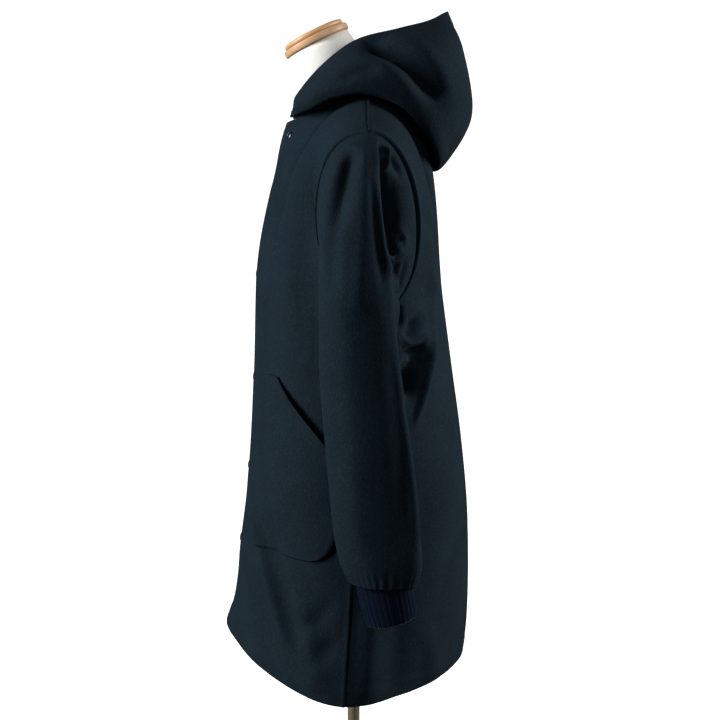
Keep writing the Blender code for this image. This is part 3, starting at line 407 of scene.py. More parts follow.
# %% Welts, grooves and turned edges
def beside(distance, welt, welt_width, groove, groove_width=0.0016):
    """A welt whose top lies a welt's width from the edge, and a groove right at the edge."""
    raised = welt * np.exp(-((distance - welt_width) / welt_width) ** 2)
    return raised - groove * np.exp(-((distance / groove_width) ** 2))


def finished_panel(name, folds, front_folds, seed=None):
    """Outer points of one panel with its folds, seams and turned edges."""
    grid = BASE[name]
    normals = NORMALS[name]
    if seed:
        folds = shifted(folds, seed)
        front_folds = shifted(front_folds, seed + 1)
    calm = unit(evened(normals, CALM_SPREAD, closed=False))
    grid = pressed(grid, calm, folds, FADE)
    grid = pressed(grid, calm, front_folds, FADE, seen=(0, 2))
    across, from_side = run_along(grid, 1), run_back(grid, 1)
    up, from_top = run_along(grid, 0), run_back(grid, 0)
    raised = np.zeros(grid.shape[:2])
    raised[OVER] += beside(from_side[OVER], 0.0024, 0.0042, 0.0046, 0.0015)
    welt = 0.0002 if name == "back" else 0.0014
    raised[UNDER] += beside(from_side[UNDER], welt, 0.003, 0.0012, 0.001)
    shoulder = STEPS >= NECK_SHARE
    welt = 0.0012 if name == "back" else 0.0003
    raised[:, shoulder] += beside(from_top[:, shoulder], welt, 0.004, 0.001)
    raised += 0.0007 * (1 - ease(up, 0.022, 0.03)) - 0.0006 * np.exp(-((up / 0.0012) ** 2))
    if name != "back":
        raised += 0.0006 * (1 - ease(across, 0.048, 0.056)) - 0.0005 * np.exp(-((across / 0.0012) ** 2))
    return grid + normals * raised[..., None]


FRONT_WAVES = (
    (0.06, 0.7, 0.066, 0.64, 0.074, 0.575, 0.022, -0.003, 0.0),
    (0.12, 0.74, 0.124, 0.66, 0.132, 0.57, 0.022, 0.0035, 0.0),
    (0.15, 1.16, 0.12, 1.1, 0.09, 1.04, 0.02, -0.0025, 0.0),
    (0.14, 1.28, 0.128, 1.22, 0.1, 1.16, 0.016, 0.002, 0.0),
)
BACK_WAVES = (
    (0.04, 0.72, 0.044, 0.64, 0.052, 0.545, 0.026, -0.004, 0.0),
    (0.11, 0.76, 0.114, 0.66, 0.124, 0.545, 0.024, 0.004, 0.0),
    (0.15, 1.23, 0.11, 1.18, 0.06, 1.15, 0.016, -0.003, 0.0),
    (0.16, 1.16, 0.12, 1.12, 0.08, 1.1, 0.016, 0.003, 0.0),
)
BODY = {
    "left": finished_panel("left", FOLDS_FRONT, FRONT_WAVES),
    "right": finished_panel("right", FOLDS_FRONT, FRONT_WAVES, seed=11),
    "back": finished_panel("back", FOLDS_BACK, BACK_WAVES),
    "back_right": finished_panel("back", FOLDS_BACK, BACK_WAVES, seed=23),
}
tuck = 1 - ease(BODY["right"][..., 0], LAP + 0.004, LAP + 0.045)
BODY["right"] -= NORMALS["right"] * (UNDERLAP * tuck)[..., None]
curl = ease(RISES, 1.55, 2.0)[:, None] * (1 - ease(STEPS, 0, 0.16))[None, :]
BODY["left"] += NORMALS["left"] * (CORNER_CURL * curl)[..., None]
print("panels:", ", ".join(BODY))

# %% [markdown]
# Each panel becomes a closed shell: the outer grid, the same grid a wall further in, and a rim
# between them. A small bevel rounds the rim, as a turned edge of felted wool is never sharp. Solidify
# could do the same, but here the inner wall must follow normals that two sewn panels share.

# %% Making shells
def in_collection(name, mesh):
    """A new object at the origin that holds this mesh."""
    thing = bpy.data.objects.new(name, mesh)
    bpy.context.scene.collection.objects.link(thing)
    return thing


def only(thing):
    """Selects one object and makes it the active one."""
    bpy.ops.object.select_all(action="DESELECT")
    thing.select_set(True)
    bpy.context.view_layer.objects.active = thing


def faces_of(corner):
    """The four-sided faces of a grid of point numbers."""
    return np.stack([corner[:-1, :-1], corner[:-1, 1:], corner[1:, 1:], corner[1:, :-1]], -1).reshape(-1, 4)


def shell(name, outer, inner, round_about=False, bevel=0.0007):
    """A closed wall between two grids of points, with its rim rounded."""
    count = outer.shape[0] * outer.shape[1]
    corner = np.arange(count).reshape(outer.shape[:2])
    if round_about:
        corner = np.concatenate([corner, corner[:, :1]], axis=1)
    quads = faces_of(corner)
    rims = [corner[0], corner[-1, ::-1]]
    if not round_about:
        rims += [corner[::-1, 0], corner[:, -1]]
    strips = [np.stack([rim[1:], rim[:-1], rim[:-1] + count, rim[1:] + count], -1) for rim in rims]
    faces = np.concatenate([quads, quads[:, ::-1] + count, *strips])
    points = np.concatenate([outer.reshape(-1, 3), inner.reshape(-1, 3)])
    first, second, third = (points[faces[:, n]] for n in range(3))
    if (first * np.cross(second, third)).sum() < 0:
        faces = faces[:, ::-1]
    mesh = bpy.data.meshes.new(name)
    mesh.from_pydata(points.tolist(), [], faces.tolist())
    mesh.update()
    thing = in_collection(name, mesh)
    if bevel:
        only(thing)
        edge = thing.modifiers.new("edge", "BEVEL")
        edge.limit_method = "ANGLE"
        edge.angle_limit = math.radians(58)
        edge.width = bevel
        edge.segments = 2
        bpy.ops.object.modifier_apply(modifier="edge")
    thing.data.shade_smooth()
    print(name, "faces:", len(thing.data.polygons))
    return thing


# %% [markdown]
# Felted wool is nearly black here, with a cool tint that only shows where it is lit. Its face is a
# mat of short fibres: fine speckles in colour, a fine bump, and a soft sheen along its outlines. The
# nap is a node group, because the coat, the knit and the linen each use it with their own values.

# %% Node groups for the finishes
def group_of(name, inputs, outputs):
    """A shader node group, and what its inputs give: colours, numbers or, where None, places."""
    kinds = {tuple: "NodeSocketColor", float: "NodeSocketFloat", type(None): "NodeSocketVector"}
    group = bpy.data.node_groups.new(name, "ShaderNodeTree")
    for label, value in inputs.items():
        socket = group.interface.new_socket(label, in_out="INPUT", socket_type=kinds[type(value)])
        if value is not None:
            socket.default_value = value
    for label in outputs:
        kind = kinds[tuple if label == "Colour" else float]
        group.interface.new_socket(label, in_out="OUTPUT", socket_type=kind)
    put = group.nodes.new("NodeGroupOutput")
    return group, group.nodes.new("NodeGroupInput").outputs, put.inputs


def node(tree, kind, inputs=None, **settings):
    """A node with its settings; each input takes a constant or another node's output."""
    made = tree.nodes.new("ShaderNode" + kind)
    for label, value in settings.items():
        setattr(made, label, value)
    for label, value in (inputs or {}).items():
        if isinstance(value, bpy.types.NodeSocket):
            tree.links.new(value, made.inputs[label])
        else:
            made.inputs[label].default_value = value
    return made


def maths(tree, operation, first, second=0.0):
    """A Math node on two values or sockets."""
    return node(tree, "Math", {0: first, 1: second}, operation=operation).outputs[0]


def blended(tree, how, amount, first, second):
    """A colour Mix node."""
    mix = node(tree, "Mix", {0: amount, 6: first, 7: second}, data_type="RGBA", blend_type=how)
    return mix.outputs[2]


def noise(tree, place, scale, detail, rough=0.5, bent=0.0):
    """The values of a noise texture."""
    return node(tree, "TexNoise", {"Vector": place, "Scale": scale, "Detail": detail, "Roughness": rough,
                                   "Distortion": bent}).outputs[0]


def ranged(tree, value, low, high, to_low=0.0, to_high=1.0):
    """A value mapped from one range to another."""
    return node(tree, "MapRange", {"Value": value, "From Min": low, "From Max": high,
                                   "To Min": to_low, "To Max": to_high}).outputs[0]


def object_place(tree, scale=None):
    """Object coordinates, stretched where a scale is given."""
    at = node(tree, "TexCoord").outputs["Object"]
    return node(tree, "Mapping", {"Vector": at, "Scale": scale}).outputs[0] if scale else at


def make_nap():
    """Fibres of a felted or brushed cloth: colour, roughness and height."""
    group, given, put = group_of("felted nap", {
        "Colour": (0.01, 0.016, 0.023, 1), "Fibre colour": (0.03, 0.04, 0.05, 1), "Size": 900.0,
        "Mottle": 0.35, "Roughness": 0.9}, ("Colour", "Roughness", "Height"))
    lay = object_place(group, (1.0, 1.0, 0.45))
    fibres = noise(group, lay, given["Size"], 3.0, 0.65, 0.6)
    clumps = noise(group, lay, 330.0, 3.0, 0.6)
    patches = noise(group, object_place(group), 14.0, 3.0)
    tone = blended(group, "MIX", ranged(group, fibres, 0.5, 0.72), given["Colour"], given["Fibre colour"])
    light = maths(group, "MULTIPLY", maths(group, "ADD", clumps, patches), given["Mottle"])
    scale = maths(group, "ADD", maths(group, "SUBTRACT", 1.0, given["Mottle"]), light)
    grey = node(group, "CombineColor", {"Red": scale, "Green": scale, "Blue": scale}).outputs[0]
    group.links.new(blended(group, "MULTIPLY", 1.0, tone, grey), put["Colour"])
    rough = maths(group, "ADD", given["Roughness"], maths(group, "MULTIPLY", clumps, 0.06))
    group.links.new(rough, put["Roughness"])
    height = maths(group, "MULTIPLY", maths(group, "ADD", fibres, clumps), 0.5)
    group.links.new(height, put["Height"])
    return group


NAP = make_nap()
print("node group:", NAP.name)

# %% The wool, and how a material is put together
def new_material(name, **constants):
    """A material whose shader's constants are set on its own sockets, and its node tree."""
    material = bpy.data.materials.new(name)
    material.use_nodes = True
    for label, value in constants.items():
        material.node_tree.nodes["Principled BSDF"].inputs[label].default_value = value
    return material, material.node_tree


def finished(material, colour, height, strength, depth, rough=None):
    """The material with its colour, its bump and, where given, its roughness linked."""
    tree = material.node_tree
    bump = node(tree, "Bump", {"Height": height, "Strength": strength, "Distance": depth}).outputs[0]
    for label, value in (("Base Color", colour), ("Roughness", rough), ("Normal", bump)):
        if value:
            tree.links.new(value, tree.nodes["Principled BSDF"].inputs[label])
    return material


def nap_on(tree, colour, fibre, size, mottle=0.35, rough=0.9):
    """What the nap's group gives in a material."""
    return node(tree, "Group", {"Colour": (*colour, 1), "Fibre colour": (*fibre, 1), "Size": size,
                                "Mottle": mottle, "Roughness": rough}, node_tree=NAP).outputs


def nap_material(name, colour, fibre, size, mottle, rough, depth, **constants):
    """A cloth whose face is a nap of short fibres."""
    material, tree = new_material(name, **constants)
    nap = nap_on(tree, colour, fibre, size, mottle, rough)
    return finished(material, nap["Colour"], nap["Height"], 1.0, depth, nap["Roughness"])


WOOL = nap_material(
    "wool_coating", (0.008, 0.0148, 0.0212), (0.018, 0.0298, 0.04), 850.0, 0.5, 0.9, 0.0008,
    **{"Sheen Weight": 0.008, "Sheen Roughness": 0.3, "Sheen Tint": (0.5, 0.72, 0.86, 1),
       "Specular IOR Level": 0.03})
print("material:", WOOL.name)


def dressed(thing, material, slot, *solids):
    """Gives a piece its material and body, and hides the solids it stands for. The slot is not used."""
    thing.data.materials.clear()
    thing.data.materials.append(material)
    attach(thing, "root")
    if solids:
        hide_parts(*solids)


def sewn(name, outer, inner, solid, flip=False, round_about=False, bevel=0.0007,
         material=WOOL, slot="wool_coating"):
    """A piece of cloth between two grids, with its material and body, given back with its outer points.
    widest row, longest column and area.
    """
    if flip:
        outer, inner = mirrored(outer), mirrored(inner)
    thing = shell(name, outer, inner, round_about, bevel)
    dressed(thing, material, slot, solid)
    return thing, outer


# %% [markdown]
# Now the two fronts and the back are made as shells. The left front laps over the right one, and its
# top corner curls outwards where the coat hangs open at the neck. The back is one piece, so its left
# and right halves are joined on the centre line, where both have no folds that differ.

# %% Fronts and back
PANEL_BEVEL = 0.0004


def whole_back():
    """The back from side seam to side seam, with the folds of each side."""
    left = BODY["back"].copy()
    right = BODY["back_right"].copy()
    both = (left[:, :1] + mirrored(right[:, :1])) / 2
    both[..., 0] = 0
    grid = np.concatenate([mirrored(right[:, :0:-1]), both, left[:, 1:]], axis=1)
    normals = np.concatenate([mirrored(NORMALS["back"][:, :0:-1]), NORMALS["back"]], axis=1)
    return grid, normals


for key, solid in (("left", "front_left"), ("right", "front_right")):
    sewn(key + "_front", BODY[key], BODY[key] - NORMALS[key] * WALL, solid,
         flip=key == "right", bevel=PANEL_BEVEL)
back_outer, back_normals = whole_back()
sewn("back_panel", back_outer, back_outer - back_normals * WALL, "back", bevel=PANEL_BEVEL)

# %% [markdown]
# A sleeve is a tube that starts on the armhole and ends gathered on to the cuff. Its rings are
# squarish at the top, where the cloth falls from the shoulder in a box of folds. Lower down they are
# rounder in front and flatter behind. The ridge down the rear comes from the ring's own corner.

# %% Sizes of the sleeve and cuff
SLEEVE_COLUMNS = ("out_x", "out_z", "in_x", "in_z", "front", "back", "ridge", "square")
SLEEVE = {
    "cap":     (0.236, 1.314, 0.208, 1.081, -0.041, 0.074, 0.05, 2.2),
    "head":    (0.26, 1.293, 0.214, 1.066, -0.042, 0.064, 0.037, 2.4),
    "upper":   (0.28, 1.238, 0.2185, 1.045, -0.042, 0.06, 0.046, 2.5),
    "bicep":   (0.291, 1.162, 0.2205, 1.005, -0.042, 0.058, 0.051, 2.5),
    "bend":    (0.297, 1.078, 0.2215, 0.957, -0.041, 0.062, 0.059, 2.4),
    "elbow":   (0.299, 0.99, 0.2225, 0.9, -0.036, 0.073, 0.07, 2.4),
    "forearm": (0.299, 0.905, 0.2235, 0.845, -0.03, 0.08, 0.08, 2.3),
    "lower":   (0.297, 0.83, 0.2245, 0.793, -0.024, 0.087, 0.087, 2.3),
    "blouse":  (0.296, 0.779, 0.225, 0.76, -0.0155, 0.0905, 0.0905, 2.3),
    "turn":    (0.2915, 0.7455, 0.2295, 0.745, -0.004, 0.084, 0.084, 2.2),
}
# x, y, z, half_x, half_y, tip in degrees
CUFF = {
    "top":    (0.261, 0.0395, 0.7545, 0.024, 0.0365, 3),
    "middle": (0.262, 0.0455, 0.724, 0.0236, 0.035, 9),
    "bottom": (0.263, 0.052, 0.695, 0.023, 0.0332, 13),
}
CUFF_EASE = 0.0016          # how far the sleeve's turned end stands off the cuff's ring
CUFF_LIFT = 0.0009          # how far above the cuff it turns in
CUFF_HOLD = 0.0008          # how far in from the cuff's ring it ends
REAR_FLAT = 1.5             # how much squarer the lower sleeve is behind, on its outer side
FRONT_ROUND = 0.55          # how much rounder it is in front
SLEEVE_TABLE = np.array(list(SLEEVE.values()))
CUFF_TABLE = np.array(list(CUFF.values()))
SLEEVE_ROWS = np.concatenate([
    np.linspace(-0.95, 0, 16)[:-1],
    np.linspace(0, 4, 116)[:-1],
    np.linspace(4, 9, 68),
])
print("rows along the sleeve:", len(SLEEVE_ROWS))

# %% Sleeve and cuff rings
def sleeve_ring(stop, angles):
    """Points of one ring of the left sleeve, at angles from its outermost point to the back."""
    table = curve_at(np.arange(len(SLEEVE_TABLE)), SLEEVE_TABLE, np.array([stop]))[0]
    row = dict(zip(SLEEVE_COLUMNS, table))
    outermost = np.array((row["out_x"], 0, row["out_z"]))
    innermost = np.array((row["in_x"], 0, row["in_z"]))
    middle = (outermost + innermost) / 2
    middle[1] = (row["front"] + row["back"]) / 2
    outer = np.cos(angles) > 0
    behind = REAR_FLAT * ease(stop, 3.0, 5.5) * ease(np.sin(angles), 0, 0.8) * outer
    ahead = FRONT_ROUND * ease(stop, 1.0, 3.0) * ease(-np.sin(angles), 0, 0.8) * outer
    power = 2 / (row["square"] + behind - ahead)
    deep = np.sign(np.cos(angles)) * np.abs(np.cos(angles)) ** power
    wide = np.sign(np.sin(angles)) * np.abs(np.sin(angles)) ** power
    ring = deep[:, None] * (outermost - innermost) / 2
    behind = row["back"] + (row["ridge"] - row["back"]) * ease(deep, -0.6, 0.3)
    ring[:, 1] += wide * (np.where(wide > 0, behind, row["back"]) - middle[1])
    return middle + ring


def cuff_ring(place, angles, out=0.0):
    """Points of one ring of the left cuff: place is 0 at its top and 2 at its bottom."""
    x, y, z, half_x, half_y, tip = curve_at(np.arange(3), CUFF_TABLE, np.array([place]))[0]
    behind = (half_y + out) * np.sin(angles)
    tip = math.radians(tip)
    return np.stack([x + (half_x + out) * np.cos(angles), y + behind * math.cos(tip),
                     z + behind * math.sin(tip)], axis=-1)


def sewn_on(edge, normals, towards, beyond):
    """Where a piece starts beside a sewn edge, and its normals there."""
    way = towards - edge
    turn = np.maximum(np.arctan2((way * normals).sum(-1), (way * beyond).sum(-1)), 0)[:, None]
    upright = np.minimum(turn, math.pi / 2)
    start = edge + SEAM * (np.cos(upright) * beyond + np.sin(upright) * normals)
    return start, unit(np.cos(turn) * normals - np.sin(turn) * beyond)


def away_from(normals, along, goal):
    """Directions square to an edge and to its normals, on the side of a goal."""
    beyond = unit(np.cross(along, normals))
    return beyond * np.sign((beyond * goal).sum(-1, keepdims=True))


def armhole(ahead, behind):
    """Values round an armhole from the shoulder tip forwards, out of those of two panels."""
    over = np.flatnonzero(OVER)
    return np.concatenate([ahead[over[::-1], -1], behind[over[1:-1], -1]])


print("innermost point of the cuff:", cuff_ring(1.0, np.array([math.pi]))[0].round(3))

# %% [markdown]
# The folds of the sleeve are what makes the coat look worn. Behind the ridge the cloth drops into a
# deep hollow, which a diagonal fold closes at armpit height, and a fan of creases runs from there to
# the seam. In front of the ridge lies a broad, shallow trough.

# %% Folds of the sleeve
FOLDS_SLEEVE = (
    (0.001, 1.306, -0.008, 1.262, -0.022, 1.205, 0.012, -0.013, 0.0),
    (-0.018, 1.225, -0.024, 1.175, -0.024, 1.12, 0.01, -0.0045, 0.0),
    (0.014, 1.262, 0.012, 1.18, 0.006, 1.1, 0.012, 0.0035, 0.0),
    (0.024, 1.275, 0.0305, 1.205, 0.038, 1.13, 0.005, -0.003, 0.0),
    (0.03, 1.314, 0.0355, 1.225, 0.05, 1.135, 0.0058, 0.009, 0.4),
    (0.049, 1.14, 0.0585, 1.08, 0.068, 0.985, 0.0075, 0.008, 0.5),
    (0.068, 0.99, 0.0785, 0.9, 0.085, 0.8, 0.007, 0.004, 0.5),
    (0.048, 1.06, 0.06, 0.95, 0.068, 0.81, 0.013, -0.0038, 0.0),
    (0.038, 1.285, 0.0425, 1.225, 0.05, 1.168, 0.0058, -0.023, 0.0),
    (0.0475, 1.272, 0.0505, 1.225, 0.0555, 1.18, 0.007, -0.009, 0.0),
    (0.0345, 1.308, 0.035, 1.294, 0.0345, 1.28, 0.0026, -0.007, 0.0),
    (0.0415, 1.304, 0.045, 1.29, 0.038, 1.268, 0.0028, 0.0085, 0.0),
    (0.048, 1.295, 0.054, 1.282, 0.061, 1.27, 0.004, -0.008, 0.0),
    (0.064, 1.262, 0.07, 1.235, 0.0675, 1.205, 0.011, 0.005, 0.0),
    (0.046, 1.155, 0.056, 1.169, 0.07, 1.195, 0.0024, 0.0085, 0.5),
    (0.049, 1.142, 0.056, 1.16, 0.068, 1.182, 0.003, -0.006, 0.0),
    (0.052, 1.122, 0.059, 1.148, 0.07, 1.184, 0.0032, 0.0065, 0.0),
    (0.056, 1.112, 0.062, 1.134, 0.069, 1.165, 0.004, -0.007, 0.0),
    (-0.01, 0.93, 0.0, 0.86, 0.004, 0.79, 0.012, 0.0015, 0.0),
)
GATHERS = 30                # small gathers where the sleeve is sewn to the cuff
GATHER_HEIGHT = 0.0005
WELT_ENDS = (-1.05, -0.72)  # stops between which the sleeve leaves the welt of the armhole
RING_STARTS = (-1.35, 1.0)  # stops between which it goes over to its own rings
FOLDS_START = (-1.0, -0.55)     # stops between which its folds set in
FACING_OUT = (-0.25, 0.35)      # share of the cloth's turn to the side, from no folds to full ones


def make_sleeve(name, front, back, solid, flip, seed=None):
    """One sleeve, from the armhole to the cuff."""
    hole = armhole(BODY[front], BODY[back])
    hole_normals = armhole(NORMALS[front], NORMALS["back"])
    plain = armhole(BASE[front], BASE["back"])
    centre = (plain.max(0) + plain.min(0)) / 2
    half = (plain.max(0) - plain.min(0)) / 2
    angles = np.arctan2((plain[:, 1] - centre[1]) / half[1], (plain[:, 2] - centre[2]) / half[2])
    rows = []
    for stop in SLEEVE_ROWS:
        ring = sleeve_ring(max(stop, 0), angles)
        share = ease(stop, *RING_STARTS)
        seam = hole + (plain - hole) * ease(stop, *WELT_ENDS)
        rows.append((1 - share) * seam + share * ring)
    beyond = away_from(hole_normals, tangents(hole, 0, closed=True), centre - hole)
    start, start_normals = sewn_on(hole, hole_normals, rows[0], beyond)
    grid = np.stack(rows)
    normals = normals_of(grid, round_about=True)
    outwards = np.sign(((grid - grid.mean(axis=1, keepdims=True)) * normals).sum())
    normals *= outwards
    outside = ease(normals[..., 0], *FACING_OUT)
    below = ease(SLEEVE_ROWS, *FOLDS_START)[:, None] * ease(9 - SLEEVE_ROWS, 0, 1.2)[:, None]
    folds = shifted(FOLDS_SLEEVE, seed, 0.004) if seed else FOLDS_SLEEVE
    grid = pressed(grid, unit(normals + (0.8, 0, 0)), folds, outside * below)
    wander = 1.0 + 0.5 * np.sin(3 * angles + 0.7) * np.sin(5 * angles + 2.1)
    gather = np.cos(GATHERS * angles + 0.8 * np.sin(2 * angles)) * wander
    near_cuff = ease(SLEEVE_ROWS, 8.0, 8.8)[:, None] * (1 - 0.6 * ease(SLEEVE_ROWS, 8.8, 9))[:, None]
    grid = grid + normals * (GATHER_HEIGHT * gather * near_cuff)[..., None]
    end_rows = [cuff_ring(0, angles, CUFF_EASE) + (0, 0, CUFF_LIFT),
                cuff_ring(0, angles, -CUFF_HOLD) + (0, 0, SEAM)]
    outer = np.concatenate([start[None], grid, np.stack(end_rows)])
    normals = normals_of(outer, round_about=True) * outwards
    normals[0] = start_normals
    normals[-1] = (0, 0, -1)
    thickness = np.full(len(outer), WALL)
    thickness[-2:] = TURNED_WALL
    sewn(name, outer, outer - normals * thickness[:, None, None], solid, flip,
         round_about=True, bevel=0)


make_sleeve("left_sleeve", "left", "back", "sleeve_left", False)
make_sleeve("right_sleeve", "right", "back_right", "sleeve_right", True, seed=5)

# %% [markdown]
# The cuff is a rib knit: columns of stitches stand out, and the ones between them sink. Each rib is a
# raised wave round a plain inner wall. The knit is dyed navy and its loops lie looser than felted
# wool, so it looks bluer, and its edges catch the light.
# The sunken parts of the knit are painted darker, as shade.

# %% Knitted cuffs
CUFF_RIBS = 30
CUFF_WALL = 0.0022
RIB_HEIGHT = 0.0006
CUFF_LENGTH = 0.065


def make_knit():
    """A rib knit: two legs of each stitch along the ribs, as a height, and a mask from it for painted shade
    in the sunken parts.
    """
    group, given, put = group_of("rib stitches", {"Place": None, "Stitches": 420.0}, ("Height", "Mask"))
    part = node(group, "SeparateXYZ", {"Vector": given["Place"]}).outputs
    off = maths(group, "SUBTRACT", maths(group, "FRACT", part[0]), 0.5)
    side = maths(group, "ABSOLUTE", off)
    row = maths(group, "ADD", maths(group, "MULTIPLY", part[1], given["Stitches"]),
                maths(group, "MULTIPLY", side, 1.6))
    wave = maths(group, "SINE", maths(group, "MULTIPLY", row, 2 * math.pi))
    legs = maths(group, "SINE", maths(group, "MULTIPLY", side, 2 * math.pi))
    height = maths(group, "MULTIPLY", maths(group, "ADD", maths(group, "MULTIPLY", wave, 0.5), 0.5), legs)
    group.links.new(height, put["Height"])
    group.links.new(maths(group, "MULTIPLY", height, 0.8), put["Mask"])
    return group


def knit_material():
    """Navy rib knit on the cuff's own map of ribs and length, with painted shade where the stitches sink."""
    material, tree = new_material("rib_knit", **{
        "Roughness": 0.92, "Sheen Weight": 0.22, "Sheen Roughness": 0.18,
        "Sheen Tint": (0.45, 0.72, 1.0, 1), "Specular IOR Level": 0.06})
    place = node(tree, "UVMap", uv_map="ribs").outputs[0]
    knit = node(tree, "Group", {"Place": place}, node_tree=make_knit()).outputs
    nap = nap_on(tree, (0.0034, 0.0072, 0.0195), (0.0115, 0.0215, 0.052), 1300.0)
    # Painted shade: the sunken parts of the knit get a darker colour, standing in for the shade between the
    # stitch legs.
    dark = blended(tree, "MULTIPLY", 1.0, nap["Colour"], (0.55, 0.55, 0.6, 1))
    colour = blended(tree, "MIX", knit["Mask"], dark, nap["Colour"])
    height = maths(tree, "ADD", knit["Height"], maths(tree, "MULTIPLY", nap["Height"], 0.3))
    return finished(material, colour, height, 0.8, 0.0006)


KNIT = knit_material()


def make_cuff(name, solid, flip):
    """One cuff with raised ribs, sized to lie just inside the sleeve's turned edge."""
    around = 6 * CUFF_RIBS
    angles = np.arange(around) * 2 * math.pi / around
    places = np.linspace(0, 2, 40)
    outer, inner = [], []
    for place in places:
        fullness = 0.15 + 0.85 * ease(place, 0.0, 0.25) * (1 - 0.25 * ease(place, 1.8, 2.0))
        bulge = 0.0008 * math.sin(math.pi * place / 2)
        ribs = RIB_HEIGHT * fullness * (0.5 - 0.5 * np.cos(CUFF_RIBS * angles))
        edge = -0.0006 * math.exp(-((2 - place) / 0.03) ** 2)
        outer.append(cuff_ring(place, angles, ribs + bulge + edge))
        inner.append(cuff_ring(place, angles, -CUFF_WALL))
    thing, _ = sewn(name, np.array(outer), np.array(inner), solid,
                    flip, True, 0, KNIT, "rib_knit")
    layer = thing.data.uv_layers.new(name="ribs").data
    for face in thing.data.polygons:
        corners = [(loop, thing.data.loops[loop].vertex_index) for loop in face.loop_indices]
        columns = [vertex % around for _, vertex in corners]
        wraps = max(columns) - min(columns) > around / 2
        for (loop, vertex), column in zip(corners, columns):
            turns = (column + around * (wraps and column == 0)) / around
            share = vertex % (around * len(places)) // around / (len(places) - 1)
            layer[loop].uv = (turns * CUFF_RIBS, share * CUFF_LENGTH)


make_cuff("left_cuff", "cuff_left", False)
make_cuff("right_cuff", "cuff_right", True)

# %% [markdown]
# The hood is two halves with a seam from the crown to the nape. It lies back in a thick roll: each
# section runs from the rim over the crown and the belly down to its lowest line, and then in to the
# neckline. A diagonal valley crosses it, where the roll is pushed down by its own weight.

# %% Sizes of the hood
HOOD = (
    ((0.036, -0.08, 1.362), (0.038, -0.0835, 1.3575), (0.0395, -0.086, 1.353),
     (0.0405, -0.0865, 1.3485), (0.04, -0.085, 1.345)),
    ((0.058, -0.074, 1.379), (0.08, -0.076, 1.373), (0.094, -0.072, 1.363),
     (0.096, -0.061, 1.353), (0.086, -0.055, 1.357)),
    ((0.078, -0.04, 1.415), (0.105, -0.039, 1.407), (0.124, -0.035, 1.389),
     (0.1235, -0.027, 1.3685), (0.104, -0.023, 1.37)),
    ((0.087, 0.005, 1.446), (0.117, 0.012, 1.434), (0.136, 0.02, 1.407),
     (0.1345, 0.022, 1.3745), (0.108, 0.02, 1.374)),
    ((0.08, 0.06, 1.461), (0.112, 0.073, 1.443), (0.13, 0.08, 1.403),
     (0.126, 0.0755, 1.3525), (0.101, 0.059, 1.364)),
    ((0.055, 0.103, 1.474), (0.086, 0.123, 1.444), (0.102, 0.133, 1.38),
     (0.097, 0.115, 1.2995), (0.08, 0.088, 1.34)),
    ((0.024, 0.127, 1.488), (0.047, 0.15, 1.44), (0.058, 0.161, 1.35),
     (0.052, 0.12, 1.274), (0.045, 0.103, 1.326)),
    ((0.0, 0.133, 1.492), (0.0, 0.1575, 1.428), (0.0, 0.168, 1.342),
     (0.0, 0.118, 1.27), (0.0, 0.106, 1.325)),
)
HOOD_FRONT_END = 0.20       # where on the neckline the hood begins, as a share of it
HOOD_HOLD = 0.05            # share of the neckline over which its front end stays flat
HOOD_STOPS = np.concatenate([np.linspace(0, 4.5, 84)[:-1], np.linspace(4.5, 6, 16)])
NECK_MIDDLE = np.array((0.0, -0.012, 1.395))
HOOD_OUTSIDE = 40           # columns from the rim over the outside, which face sideways
HOOD_CLEAR = 0.0022         # how far the low part stays off the coat
FOLDS_HOOD = (
    (0.012, 1.442, 0.069, 1.42, 0.113, 1.364, 0.014, -0.0225, 0.0),
    (0.08, 1.44, 0.112, 1.41, 0.13, 1.372, 0.012, 0.004, 0.0),
    (0.02, 1.42, 0.058, 1.396, 0.09, 1.35, 0.012, 0.003, 0.0),
    (-0.02, 1.394, 0.01, 1.401, 0.036, 1.406, 0.009, -0.0045, 0.0),
    (-0.058, 1.365, -0.03, 1.378, 0.02, 1.388, 0.008, 0.0016, 0.0),
    (0.118, 1.35, 0.128, 1.318, 0.122, 1.292, 0.011, -0.0026, 0.0),
)
print("hood rows:", len(HOOD_STOPS))

# %% The hood's two halves
def neckline(front):
    """Points round half of the neckline, and the cloth's normals there."""
    first = int(np.argmin(np.abs(NECK_STEPS / NECK_SHARE - HOOD_FRONT_END)))
    steps = slice(0, len(NECK_STEPS))
    back = "back" if front == "left" else "back_right"
    points = [BODY[front][-1, steps][first:], BODY[back][-1, steps][::-1][1:]]
    normals = [NORMALS[front][-1, steps][first:], NORMALS["back"][-1, steps][::-1][1:]]
    return np.concatenate(points), np.concatenate(normals)


def cloth_tree(grids):
    """A search tree over grids of points whose normals face out of the coat."""
    points, faces = [], []
    for grid in grids:
        grid = grid[::2, ::2]
        corner = len(points) + np.arange(grid[..., 0].size).reshape(grid.shape[:2])
        points += grid.reshape(-1, 3).tolist()
        faces += faces_of(corner).tolist()
    return BVHTree.FromPolygons(points, faces)


def kept_clear(points, tree, gap, reach=0.03):
    """Moves points out to at least a gap from the cloth below them."""
    moved = points.copy()
    for place in np.ndindex(points.shape[:-1]):
        here = Vector(points[place])
        near, normal, _, far = tree.find_nearest(here)
        depth = (here - near).dot(normal)
        if depth < gap and far < reach:
            moved[place] += np.array(normal * (gap - depth))
    return moved


